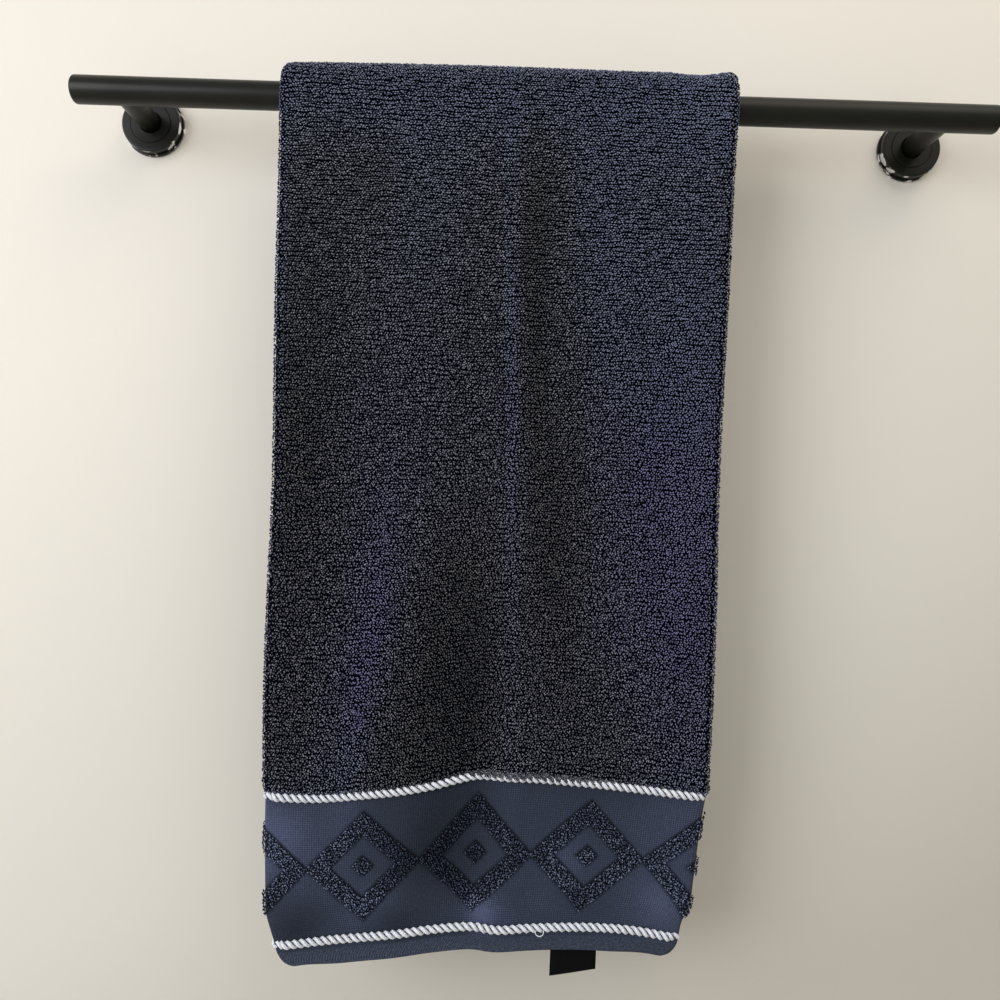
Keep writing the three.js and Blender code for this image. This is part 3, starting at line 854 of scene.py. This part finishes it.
pile = {
    "pitch": 2.25,          # between loops along the weft
    "rowPitch": 4.3,        # between rows down the cloth, near the bar
    "lowRowPitch": 3.9,     # the same, lower down
    "strands": 2,           # side by side in a row
    "strandGap": 0.4,       # between them, as a share of the row pitch
    "jitter": 0.25,         # share of the pitch, near the bar
    "looseJitter": 0.34,    # the same, lower down
    "rowWave": 0.85,        # rows wander up and down by this much
    "standOff": 2.6,        # loop tops from the middle of the cloth
    "depthSpread": 0.45,
    "length": 2.95,
    "girth": 1.9,
    "twist": 0.9,
    "lean": 0.35,
    "sizeSpread": 0.18,
    "looseLevels": (-120, -420),    # rows get closer and looser between these levels
    "layLevels": (-40, -330),       # loops turn from across the cloth to down it
    "trimLevels": (-60, -330),      # and stand more on end, and show shorter,
    "lowTrim": 0.16,        # by this share
    "endPaintedLight": 0.6,        # painted highlight: a loop on end is painted lighter, as if it caught more light
    "lip": 5.0,             # how far the last rows stand out over the upper cord
    "lipLevels": (-606, -617),
    "overhang": 3.8,        # and how far they hang over it
    "finish": terryLoops,
}
rearPile = dict(pile, pitch=2.9, rowPitch=3.9, lowRowPitch=3.9, strands=1, standOff=2.5, length=4.0,
                girth=2.7, lowTrim=0)
turnedPile = dict(rearPile, pitch=3.6, rowPitch=4.4, lowRowPitch=4.4, length=4.8, girth=3.2)
# across the width, where the pile hangs over the upper cord
lipRows = [
    (-1, 0), (-0.85, 0), (-0.7, 0.42), (-0.12, 0.4), (0, 0.75), (0.2, 0.72), (0.48, 0.58), (0.6, 0.34),
    (0.8, 0.26), (1, 0.12),
]


def lipShare(drop, lane):
    across = (clothPoint(drop, lane)[..., 0] - towel["centre"]) / towel["halfWidth"]
    return readRows(lipRows, 1, across)


def rowWander(drop, around):
    # rows wander up and down, with no repeat that the eye can find
    short = np.sin(around / 3.6 + 2.1 * np.sin(drop / 6))
    return short + np.sin(around / 6.5 + drop / 9 + 1.3 * np.sin(drop / 4))


def pileRows(start, end, make):
    # rows stand closer lower down the front; each one holds one or two strands
    row, places = start, []
    while row < end:
        low = float(lowShare(row, make["looseLevels"]))
        pitch = make["rowPitch"] + (make["lowRowPitch"] - make["rowPitch"]) * low
        places += [row + i * make["strandGap"] * pitch for i in range(make["strands"])]
        row += pitch
    return np.array(places)


def plantPile(name, rows, arounds, ends, side=1, seed=1, keep=None, make=pile):
    # loops over a stretch of cloth; side 1 is the outer face and -1 the inner
    draw = np.random.default_rng(seed)
    columns = np.arange(arounds[0], arounds[1], make["pitch"])
    drop, around = np.meshgrid(rows, columns, indexing="ij")
    loose = make["jitter"] + (make["looseJitter"] - make["jitter"]) * lowShare(drop, make["looseLevels"])
    around = around + (draw.random(around.shape) - 0.5) * 2 * loose * make["pitch"]
    around = around + make["pitch"] / 2 * (np.arange(len(rows)) % 2)[:, None]
    wander = rowWander(drop, around) * make["rowWave"] / 2
    spacing = make["rowPitch"] / make["strands"]
    drop = drop + wander + (draw.random(drop.shape) - 0.5) * 2 * loose * spacing
    drop, around = drop.ravel(), around.ravel()
    lane = laneAt(around)
    lip = lipShare(drop, lane) * (drop > crownTop)
    inside = (around > arounds[0]) & (around < arounds[1])
    inside &= (drop > ends[0]) & (drop < ends[1] + make["overhang"] * lip)
    if keep is not None:
        inside &= keep(drop, around)
    drop, lane, lip = drop[inside], lane[inside], lip[inside]
    outward, weft = clothFrame(drop, lane)
    standOff = make["standOff"] + (draw.random(drop.shape) - 0.5) * 2 * make["depthSpread"]
    standOff = standOff + make["lip"] * lip * lowShare(drop, make["lipLevels"])
    points = clothPoint(drop, lane, side * standOff)
    # a single strand lies straight down the cloth, and a double one turns to it
    down = lowShare(drop, make["layLevels"])[:, None] if make["strands"] > 1 else 1
    lay = unit(weft * (1 - down) + np.cross(outward, weft) * down)
    lengths = 1 - make["lowTrim"] * lowShare(drop, make["trimLevels"])
    # painted light and shade of the folds, with loops on end painted lighter
    paintedTones = paintedLightTone(drop, lane) + make["endPaintedLight"] * (1 - lengths)
    bed = carrierMesh(points, {"outward": outward * side, "lay": lay, "tone": paintedTones, "lengthShare": lengths})
    print(name + ":", len(points), "loops")
    return layLoops(name, bed, make, seed)


def plantParts(names, span, arounds, make=pile, seed=1):
    # a long stretch of pile in several pieces, each with its share of the rows
    rows = np.array_split(pileRows(span[0], span[1] + make["overhang"], make), len(names))
    return [plantPile(name, part, arounds, span, seed=seed + i, make=make)
            for i, (name, part) in enumerate(zip(names, rows))]


overFold = 24               # pile reaches this far round each fold onto the turned-in side
leftFold, rightFold = aroundAt(1), aroundAt(4)
panel = (leftFold - overFold, rightFold + overFold)
sideClear = clothMake["sideHemWidth"] + 1.2
crownTop = rearLength + crownLength / 2
pileMeets = rearLength + crownLength * 0.15    # the closer pile of the front begins behind the bar
frontSpan = (pileMeets, frontDrop(towel["terryEnd"] - 2.2))
rearSpan = (towel["hemHeight"] + 2.6, pileMeets)
# the turned-in sides and the inner face carry pile from a little above the rear hem's level, where they show
turnedSpan = (frontDrop(-470), frontSpan[1])
insideSpan = (frontDrop(-490), frontSpan[1])
insideArounds = [aroundAt(laneAcross(across)) for across in (-110, 55)]
# a few close rows more, where the pile hangs over the upper cord most
overCord = frontSpan[1] + np.array([-2.6, -1.1, 0.4, 1.9, 3.4])
pilePieces = [
    *plantParts(["pileFrontUpper", "pileFrontMiddle", "pileFrontLower"], frontSpan, panel, seed=3),
    plantPile("pileOverCord", overCord, panel, frontSpan, seed=6,
              keep=lambda drop, around: lipShare(drop, laneAt(around)) > 0.5),
    *plantParts(["pileRearLower", "pileRearUpper"], rearSpan, panel, rearPile, seed=8),
    plantPile("pileInside", pileRows(*insideSpan, rearPile), insideArounds, insideSpan, side=-1, seed=15,
              make=rearPile),
    *plantParts(["pileTurnedLeft"], turnedSpan, (sideClear, panel[0]), turnedPile, seed=11),
    *plantParts(["pileTurnedRight"], turnedSpan, (panel[1], aroundLength - sideClear), turnedPile, seed=13),
]

# ---- raised motif in the border: a chain of lozenges

motifPile = dict(
    pile, pitch=2.05, rowPitch=2.2, lowRowPitch=2.2, strands=1, jitter=0.34, looseJitter=0.34, rowWave=0,
    standOff=3.0, depthSpread=0.6, length=3.5, girth=1.75, twist=1.3, lean=0.55, lip=0, overhang=0,
    lowTrim=0, finish=motifLoops)


def inLozenges(drop, around):
    # true on the strokes of the chain, which runs round both folds to the selvedges
    period = motif["period"]
    across = (around - aroundLength / 2 + motif["shift"] + period / 2) % period - period / 2
    down = drop - frontDrop(motif["middle"])
    reach = np.abs(across) / motif["halfWidth"] + np.abs(down) / motif["halfHeight"]
    slope = math.hypot(1 / motif["halfWidth"], 1 / motif["halfHeight"])
    return (np.abs(reach - 1) / slope < motif["stroke"] / 2) | (reach < motif["heart"])


borderSpan = [frontDrop(level) for level in
              (towel["cordUpper"] - motif["fromCord"], towel["cordLower"] + motif["fromCord"])]
borderArounds = (sideClear, aroundLength - sideClear)
pilePieces.append(plantPile("pileBorderMotif", pileRows(*borderSpan, motifPile), borderArounds, borderSpan,
                            seed=17, keep=inLozenges, make=motifPile))

# ---- twisted cords

rope = {
    "radius": 4.05,
    "yarnRadius": 0.94,
    "coreRadius": 1.3,
    "yarnAngles": (-1.35, 0, 1.35),     # round the middle of a bundle
    "bundle": 0.8,          # a bundle's own radius, as a share of the lay radius
    "yarnSides": 6,
    "layLength": 12.6,
    "sunk": 0.9,            # into the cloth
    "lipSunk": 1.8,         # and this much more at most, where the pile hangs over it
    "foldOffset": -0.3,     # from the middle of the cloth, where it turns the folds
    "foldReach": (5, 13),   # that pull fades out between these distances from a fold
    "step": 1.6,
}


def addYarn(tree, line, profile, proud, joined):
    # one tube, marked with how far it stands out of the groove, which sets its painted groove shade
    tube = addNode(tree, "GeometryNodeCurveToMesh",
                   inputs={"Curve": line, "Profile Curve": profile, "Fill Caps": True})
    marked = addNode(tree, "GeometryNodeStoreNamedAttribute", {"data_type": "FLOAT", "domain": "POINT"},
                     {"Geometry": tube, "Name": "proud", "Value": proud})
    tree.links.new(marked.outputs[0], joined.inputs[0])


def makeRopeTree():
    # two bundles of yarns laid round a core, along the path they are given
    tree, given = newTree("laidRope", "Rope", {
        "Path": "Geometry", "Yarn radius": "Float", "Core radius": "Float", "Lay radius": "Float",
        "Lay length": "Float", "Yarn sides": "Int", "Finish": "Material"})
    path = addNode(tree, "GeometryNodeMeshToCurve", inputs={0: given["Path"]})
    outward, rise = [
        addNode(tree, "GeometryNodeInputNamedAttribute", {"data_type": "FLOAT_VECTOR"}, {"Name": mark})
        for mark in ("outward", "rise")]
    along = addNode(tree, "GeometryNodeSplineParameter").outputs["Length"]
    turns = addNode(tree, "ShaderNodeMath", {"operation": "DIVIDE"}, {0: along, 1: given["Lay length"]})
    yarn, core = [addNode(tree, "GeometryNodeCurvePrimitiveCircle",
                          inputs={"Resolution": given["Yarn sides"], "Radius": given[name]})
                  for name in ("Yarn radius", "Core radius")]
    joined = addNode(tree, "GeometryNodeJoinGeometry")
    # the core is marked for the darkest painted groove shade
    addYarn(tree, path, core, 0.0, joined)
    for bundle, angle in itertools.product(range(2), rope["yarnAngles"]):
        # yarns lie round the middle of their bundle; the one farthest out makes the lobe's crest
        out = 1.0 + rope["bundle"] * math.cos(angle)
        across = rope["bundle"] * math.sin(angle)
        phase = addNode(tree, "ShaderNodeMath", {"operation": "MULTIPLY_ADD"},
                        {0: turns, 1: -2 * math.pi, 2: math.pi * bundle + math.atan2(across, out)})
        layRadius = addNode(tree, "ShaderNodeMath", {"operation": "MULTIPLY"},
                            {0: given["Lay radius"], 1: math.hypot(out, across)})
        shifts = []
        for operation, direction in (("COSINE", outward), ("SINE", rise)):
            share = addNode(tree, "ShaderNodeMath", {"operation": operation}, {0: phase})
            reach = addNode(tree, "ShaderNodeMath", {"operation": "MULTIPLY"}, {0: share, 1: layRadius})
            shifts.append(addNode(tree, "ShaderNodeVectorMath", {"operation": "SCALE"},
                                  {0: direction, "Scale": reach}))
        shift = addNode(tree, "ShaderNodeVectorMath", {"operation": "ADD"}, {0: shifts[0], 1: shifts[1]})
        moved = addNode(tree, "GeometryNodeSetPosition", inputs={"Geometry": path, "Offset": shift})
        addYarn(tree, moved, yarn, 0.55 + 0.45 * math.cos(angle), joined)
    smooth = addNode(tree, "GeometryNodeSetShadeSmooth", inputs={0: joined})
    finishTree(tree, smooth, given["Finish"])
    return tree


def makeRope(name, level, tree):
    arounds = np.arange(0, aroundLength, rope["step"])
    lanes = laneAt(arounds)
    drop = frontDrop(level)
    outward, weft = clothFrame(drop, lanes)
    # the cord is pulled into the cloth where it turns the folds
    fromFold = np.minimum(np.abs(arounds - aroundAt(1.5)), np.abs(arounds - aroundAt(3.5)))
    standOff = towel["borderThickness"] / 2 + rope["radius"] - rope["sunk"]
    if level == towel["cordUpper"]:
        standOff = standOff - rope["lipSunk"] * lipShare(np.full(lanes.shape, drop), lanes)
    atFold = rope["foldOffset"]
    standOff = atFold + (standOff - atFold) * smoothShare(fromFold, *rope["foldReach"])
    points = clothPoint(drop, lanes, standOff)
    edges = [(i, i + 1) for i in range(len(points) - 1)]
    path = carrierMesh(points, {"outward": outward, "rise": np.cross(outward, weft)}, edges)
    return runTree(name, path, tree, {
        "Yarn radius": rope["yarnRadius"] * mm, "Core radius": rope["coreRadius"] * mm,
        "Lay radius": (rope["radius"] - rope["yarnRadius"]) / (1 + rope["bundle"]) * mm,
        "Lay length": rope["layLength"] * mm, "Yarn sides": rope["yarnSides"], "Finish": cordCotton})


ropeTree = makeRopeTree()
cordUpper = makeRope("cordUpper", towel["cordUpper"], ropeTree)
cordLower = makeRope("cordLower", towel["cordLower"], ropeTree)
print("cords laid")

# ---- stitches in the hems


def makeHemThread():
    # Spun polyester sewing thread, navy: slightly brighter than the cloth.
    material, tree, shader = newMaterial("sewingThread")
    tint = addNode(tree, "ShaderNodeAttribute", {"attribute_name": "tint"}).outputs["Fac"]
    colour = colourSteps(tree, tint, [(0.0, "#4a5268"), (1.0, "#636b82")])
    tree.links.new(colour, shader.inputs["Base Color"])
    shader.inputs["Roughness"].default_value = 0.6
    return material


stitch = {
    "length": 3.0,
    "girth": 0.9,
    "pitch": 3.7,
    "twist": 0.06,
    "lean": 0.03,
    "sizeSpread": 0.05,
    "proud": 0.15,          # of the cloth's face
    "fromEnd": 11.5,
    "fromSide": 8.0,
    "finish": makeHemThread(),
}


def sewSeam(name, drops, arounds, side, seed):
    # a row of stitches through the given places on one face
    lane = laneAt(arounds)
    outward = clothFrame(drops, lane)[0]
    points = clothPoint(drops, lane, side * (baseHalf(drops, lane) + stitch["proud"]))
    along = unit(np.gradient(points, axis=0))
    bed = carrierMesh(points, {"outward": outward * side, "lay": along, "lengthShare": np.ones(len(points))})
    return layLoops(name, bed, stitch, seed)


acrossRow = np.arange(3.0, aroundLength - 3, stitch["pitch"])
downRow = np.arange(5.0, dropLength - 5, stitch["pitch"])
nearEnd = np.full(acrossRow.shape, stitch["fromEnd"])
nearLeft = np.full(downRow.shape, stitch["fromSide"])
nearRight = np.full(downRow.shape, aroundLength - stitch["fromSide"])
seams = [
    sewSeam("seamRearHemOuter", nearEnd, acrossRow, 1, 21),
    sewSeam("seamRearHemInner", nearEnd, acrossRow, -1, 23),
    sewSeam("seamLeftSideHem", downRow, nearLeft, 1, 25),
    sewSeam("seamRightSideHem", downRow, nearRight, 1, 27),
]
print("seams sewn")

# ---- label

labelMake = {
    "width": 42,
    "height": 31,
    "thickness": 0.9,
    "left": 63,             # of its left edge, from the towel's centre line
    "bottom": -788,
    "tilt": -0.17,          # radians; its left end hangs lower
    "sideLean": 0.01,
    "bow": 0.5,
    "clearance": 0.3,       # in front of the hem
    "grid": (18, 12),
}


def makeLabel():
    make = labelMake
    columns, rows = make["grid"]
    u, v = np.meshgrid(np.linspace(-1, 1, columns), np.linspace(-1, 1, rows), indexing="ij")
    x, z = u * make["width"] / 2, v * make["height"] / 2
    bow = make["bow"] * (np.sin(1.4 * u + 0.5 * v) - 0.4 * v)
    taper = np.sqrt(np.clip(1 - np.abs(v) ** 12, 0.0, 1)) * np.where(np.abs(u) > 0.999, 0.0, 1)
    grids = [np.stack([x, bow + side * taper * make["thickness"] / 2, z], -1) for side in (-1, 1)]
    faces = []
    for layer, i, j in itertools.product(range(2), range(columns - 1), range(rows - 1)):
        a = layer * columns * rows + i * rows + j
        quad = [a, a + rows, a + rows + 1, a + 1]
        faces.append(quad if layer == 0 else quad[::-1])
    x, y, z = np.concatenate([grid.reshape(-1, 3) for grid in grids]).T
    tilt = make["tilt"]
    turnedX = x * math.cos(tilt) + z * make["sideLean"]
    turned = np.stack([turnedX, y, z * math.cos(tilt) - x * math.sin(tilt)], -1)
    outerGround = flapGround + towel["layerGap"]
    fromHem = towel["hemThickness"] / 2 + make["clearance"] + make["thickness"] / 2
    y = fromHem - outerGround - towel["barFromWall"]
    place = [towel["centre"] + make["left"] + make["width"] / 2, y, make["bottom"] + make["height"] / 2]
    return makePiece("ribbonLabel", turned + place, faces, [labelRibbon])


label = makeLabel()

# ---- a pulled thread on the lower cord

threadPull = {
    "across": 63,
    "radius": 0.4,
    "reach": 3.1,
    "widen": 1.2,           # the loop is wider than it is long
    "lower": 2.0,           # than the cord's level
    "out": 1.4,             # of the cord's front
    "sway": 1.6,
    "angles": (0.35, -math.pi - 0.2),
    "steps": 24,
    # how far the thread is marked out of the groove, for the cord finish's painted groove shade
    "proud": 0.8,
}


def makePulledThread():
    # a loose loop of the cord's own thread, hanging over its lower edge
    make = threadPull
    angle = np.linspace(*make["angles"], make["steps"])
    front = towel["borderThickness"] / 2 + 2 * rope["radius"]
    base = clothPoint(frontDrop(towel["cordLower"]), laneAcross(make["across"]), front)
    x = base[0] + make["reach"] * np.cos(angle) * make["widen"]
    z = base[2] - make["lower"] + make["reach"] * np.sin(angle)
    y = base[1] + make["out"] + make["sway"] * np.sin(angle)
    data = bpy.data.curves.new("thread", "CURVE")
    data.dimensions = "3D"
    data.bevel_depth = make["radius"] * mm
    data.bevel_resolution = 2
    data.use_fill_caps = True
    spline = data.splines.new("POLY")
    spline.points.add(len(angle) - 1)
    for point, place in zip(spline.points, np.stack([x, y, z], -1) * mm):
        point.co = (*place, 1)
    mesh = plainMesh(newObject("thread", data))
    mesh.materials.clear()
    mesh.materials.append(cordCotton)
    addMark(mesh, "proud", np.full(len(mesh.vertices), make["proud"]))
    return newObject("pulledThread", mesh)


pulledThread = makePulledThread()
print("label hung and thread pulled")

# ---- bar and holders

holder = {
    "barHalfLength": 428,
    "barEndRound": 3,
    "barLeftShort": 3,
    "barRings": (-380, -200, 0, 200, 380),
    "postRadius": 10,
    "postHalfSpacing": 381,
    "plateRadius": 30.5,
    "plateThickness": 3,
    "coverRadius": 29,
    "coverThickness": 8.5,
    "stepRadius": 19.8,
    "stepHeight": 0.5,
    "grooveDepth": 0.7,     # just outside the step
    "holeClear": 0.35,      # between the post and its cover
    "edgeRound": 1.6,
    "fitGap": 0.3,
    "postSunk": 0.2,        # into the back of the bar
    "chipReach": 0.8,       # over this much of a rim the chips come in
    "sides": 96,
    "postSides": 64,
    "centre": 0.001,        # radius where a face closes on its middle
}


def makeBlackMetal(name, chips):
    # Matt black powder coat on steel: a fine orange peel, worn to pale primer along the rims.
    material, tree, shader = newMaterial(name)
    place = addNode(tree, "ShaderNodeTexCoord").outputs["Object"]
    peel = addNode(tree, "ShaderNodeTexNoise",
                   inputs={"Vector": place, "Scale": grainScale(1.111), "Detail": 2.0})
    smear = addNode(tree, "ShaderNodeTexNoise",
                    inputs={"Vector": place, "Scale": grainScale(45), "Detail": 4.0})
    colour = colourSteps(tree, smear, [(0.35, "#0f110b"), (0.7, "#171911")])
    if chips:
        rim = addNode(tree, "ShaderNodeAttribute", {"attribute_name": "rim"}).outputs["Fac"]
        flake = addNode(tree, "ShaderNodeTexNoise",
                        inputs={"Vector": place, "Scale": grainScale(10.5), "Detail": 3.0})
        worn = addNode(tree, "ShaderNodeMath", {"operation": "MULTIPLY"}, {0: rim, 1: flake})
        bare = addNode(tree, "ShaderNodeMapRange", inputs={"Value": worn, 1: 0.55, 2: 0.57, 3: 0.0, 4: 1.0})
        colour = addNode(tree, "ShaderNodeMix", {"data_type": "RGBA"},
                         {0: bare, 6: colour, 7: linear("#d9d8d2")}).outputs[2]
    bump = addNode(tree, "ShaderNodeBump", inputs={"Strength": 0.15, "Distance": 0.0002, "Height": peel})
    dressShader(tree, shader, colour, bump, 0.37, 0.3)
    return material


def turnPiece(name, profile, material, place=(0, 0, 0), alongX=False, closed=False, rimAt=None):
    # a turned piece: (radius, out) pairs from the wall outwards, or along the bar
    sides = holder["sides"]
    angles = 2 * math.pi * np.arange(sides) / sides
    rings = []
    for radius, out in profile:
        c, s = radius * np.cos(angles), radius * np.sin(angles)
        rings.append(np.stack([np.full(sides, out), c, s] if alongX else [c, np.full(sides, -out), s], -1))
    faces = ringFaces(len(profile), sides, closed)
    piece = makePiece(name, np.concatenate(rings) + place, faces, [material])
    work = bmesh.new()
    work.from_mesh(piece.data)
    bmesh.ops.recalc_face_normals(work, faces=work.faces)
    work.to_mesh(piece.data)
    work.free()
    if rimAt is not None:
        radii = np.array([math.hypot(v.co.x / mm - place[0], v.co.z / mm) for v in piece.data.vertices])
        addMark(piece.data, "rim", np.clip((radii - rimAt) / holder["chipReach"], 0, 1))
    return piece


def roundCorner(radius, out, size, steps=4):
    # points round an outer corner of a profile, from the side to the face
    angles = [math.pi / 2 * i / steps for i in range(steps + 1)]
    return [(radius - size + size * math.cos(a), out - (size - size * math.sin(a))) for a in angles]


blackMetal = makeBlackMetal("powderCoatedSteel", False)
chippedMetal = makeBlackMetal("chippedPowderCoat", True)


def makeBar():
    make = holder
    radius, half, short = towel["barRadius"], make["barHalfLength"], make["barLeftShort"]
    right = roundCorner(radius, half, make["barEndRound"], 6)
    left = [(r, short - out) for r, out in reversed(right)]
    middle = [(radius, x) for x in make["barRings"]]
    profile = [(make["centre"], short - half), *left, *middle, *right, (make["centre"], half)]
    return turnPiece("towelBar", profile, blackMetal, (0, -towel["barFromWall"], 0), alongX=True)


def makePost(name, x):
    # round, flared a little where it is welded to the back of the bar
    make = holder
    sides = make["postSides"]
    angles = 2 * math.pi * np.arange(sides) / sides
    start = make["plateThickness"] + make["fitGap"]
    rings = []
    for share, grow in ((0, 0), (0.35, 0), (0.7, 0), (0.93, 0), (0.975, 0.3), (1.0, 1.0)):
        radius = make["postRadius"] + grow
        z = radius * np.sin(angles)
        saddle = np.sqrt(np.clip((towel["barRadius"] - make["postSunk"]) ** 2 - z ** 2, 0, None))
        out = start + (towel["barFromWall"] - saddle - start) * share
        rings.append(np.stack([x + radius * np.cos(angles), -out, z], -1))
    # each end closes on its middle
    inBar = -towel["barFromWall"] + towel["barRadius"] - make["postSunk"]
    first, last = [np.tile([[x, y, 0]], (sides, 1)) for y in (-start, inBar)]
    points = np.concatenate([first, *rings, last])
    return makePiece(name, points, ringFaces(len(rings) + 2, sides), [blackMetal])


def makePlate(name, x):
    radius, thickness, centre = holder["plateRadius"], holder["plateThickness"], holder["centre"]
    profile = [
        (centre, 0),
        (radius - 1, 0),
        (radius - 0.3, 0),
        (radius, 0.4),
        *roundCorner(radius, thickness, 0.7),
        (radius - 3.5, thickness),
        (centre, thickness),
    ]
    return turnPiece(name, profile, chippedMetal, (x, 0, 0), rimAt=radius - 2.6)


def makeCover(name, x):
    # stepped, with one fine groove round the step, and open for the post
    make = holder
    hole = make["postRadius"] + make["holeClear"]
    radius, step, edge = make["coverRadius"], make["stepRadius"], make["edgeRound"]
    back = make["plateThickness"] + make["fitGap"]
    front = back + make["coverThickness"]
    top, groove = front + make["stepHeight"], front - make["grooveDepth"]
    profile = [
        (hole, back),
        (radius - 0.3, back),
        (radius, back + 0.3),
        *roundCorner(radius, front, edge),
        (radius - edge - 0.3, front),
        (step + 0.9, front),
        (step + 0.6, front),
        (step + 0.3, groove),
        (step, groove),
        *roundCorner(step, top, 0.4),
        (step - 0.7, top),
        (hole + 0.9, top),
        (hole + 0.6, top),
        (hole, top - 0.6),
    ]
    return turnPiece(name, profile, chippedMetal, (x, 0, 0), closed=True, rimAt=radius - 1.0)


bar = makeBar()
holderParts = [
    ("post", "post_", makePost),
    ("cover", "cover_", makeCover),
    ("wallPlate", "wall_plate_", makePlate),
]
holders = []
for sideName, x in (("Left", -holder["postHalfSpacing"]), ("Right", holder["postHalfSpacing"])):
    for pieceName, node, makeIt in holderParts:
        holders.append((makeIt(pieceName + sideName, x), node + sideName.lower()))
print("bar and holders turned")

# ---- what each piece stands for

stands = [
    (towelCloth, "towel", "terry"),
    (cordUpper, "cord_upper", "cord"),
    (cordLower, "cord_lower", "cord"),
    (label, "label", "label"),
    (bar, "bar", "black_metal"),
    *[(piece, node, "black_metal") for piece, node in holders],
]
for piece, node, slotName in stands:
    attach(piece, "root")
    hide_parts(node)
for piece in [*pilePieces, *seams]:
    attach(piece, "root")
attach(pulledThread, "root")

# ---- wall, floor and light

stageMake = {
    "wall": ("#d0ccc1", "#e7e4da", "#f6f2e8"),      # paint, from low down to high up, its steps a painted falloff of light
    "floor": ("#b6b2a9", "#b6b2a9", "#b6b2a9"),
    "floorLevel": -1.25,
    "half": 4.0,
    "wallBack": 0.0006,     # just behind the wall plates
}


def makeStagePaint(name, colours):
    # Matt emulsion on plaster, faintly uneven. It shows from its own side only, so that the object can be
    # looked at from behind.
    material, tree, shader = newMaterial(name)
    place = addNode(tree, "ShaderNodeTexCoord").outputs["Object"]
    rough = addNode(tree, "ShaderNodeTexNoise",
                    inputs={"Vector": place, "Scale": grainScale(330), "Detail": 5.0})
    bump = addNode(tree, "ShaderNodeBump", inputs={"Strength": 0.12, "Distance": 0.004, "Height": rough})
    # painted shade: the wall is painted a little darker low down, and more so to the right, for the lamps'
    # falloff
    at = addNode(tree, "ShaderNodeSeparateXYZ", inputs={0: place})
    height = addNode(tree, "ShaderNodeMath", {"operation": "MULTIPLY_ADD"},
                     {0: at, 1: -0.5, 2: at.outputs[2]})
    share = addNode(tree, "ShaderNodeMapRange", inputs={"Value": height, 1: -1.0, 2: 0.0, 3: 0.0, 4: 1.0})
    colour = colourSteps(tree, share, list(zip((0.0, 0.4, 1.0), colours)))
    dressShader(tree, shader, colour, bump, 0.9, 0.2)
    clear = addNode(tree, "ShaderNodeBsdfTransparent")
    back = addNode(tree, "ShaderNodeNewGeometry").outputs["Backfacing"]
    shadow = addNode(tree, "ShaderNodeLightPath").outputs["Is Shadow Ray"]
    either = addNode(tree, "ShaderNodeMath", {"operation": "MAXIMUM"}, {0: back, 1: shadow})
    mix = addNode(tree, "ShaderNodeMixShader", inputs={0: either, 1: shader, 2: clear})
    tree.links.new(mix.outputs[0], tree.nodes["Material Output"].inputs["Surface"])
    return material


def addStage():
    half, level, back = stageMake["half"], stageMake["floorLevel"], stageMake["wallBack"]
    corners = {
        "wall": [(-half, back, level), (half, back, level), (half, back, half), (-half, back, half)],
        "floor": [(-half, -half, level), (half, -half, level), (half, half, level), (-half, half, level)],
    }
    for name, points in corners.items():
        mesh = bpy.data.meshes.new(name)
        mesh.from_pydata(points, [], [(0, 1, 2, 3)])
        mesh.materials.append(makeStagePaint(name + "Paint", stageMake[name]))
        newObject(name, mesh)


def addLamp(name, place, aim, size, power, colour):
    data = bpy.data.lights.new(name, "AREA")
    data.shape = "DISK"
    data.size = size
    data.energy = power
    data.color = linear(colour)[:3]
    lamp = bpy.data.objects.new(name, data)
    lamp.location = place
    lamp.rotation_mode = "QUATERNION"
    lamp.rotation_quaternion = (Vector(aim) - Vector(place)).to_track_quat("-Z", "Y")
    scene.collection.objects.link(lamp)


addStage()
addLamp("window", (-1.9, -2.0, 0.12), (0, -0.1, -0.3), 1.9, 40.5, "#fafaff")
addLamp("roomFill", (0.8, -1.1, 1.3), (0.2, 0, -0.1), 1.6, 10.5, "#fff1da")
addLamp("backFill", (0.6, 2.4, 0.6), (0, -0.1, -0.35), 2.0, 40, "#f6f6ff")

world = bpy.data.worlds.new("studio")
scene.world = world
world.use_nodes = True
background = world.node_tree.nodes["Background"]
background.inputs["Color"].default_value = linear("#f4f4f4")
background.inputs["Strength"].default_value = 0.53
scene.view_settings.view_transform = "Standard"
print("wall, floor and light set")

print("scene built")
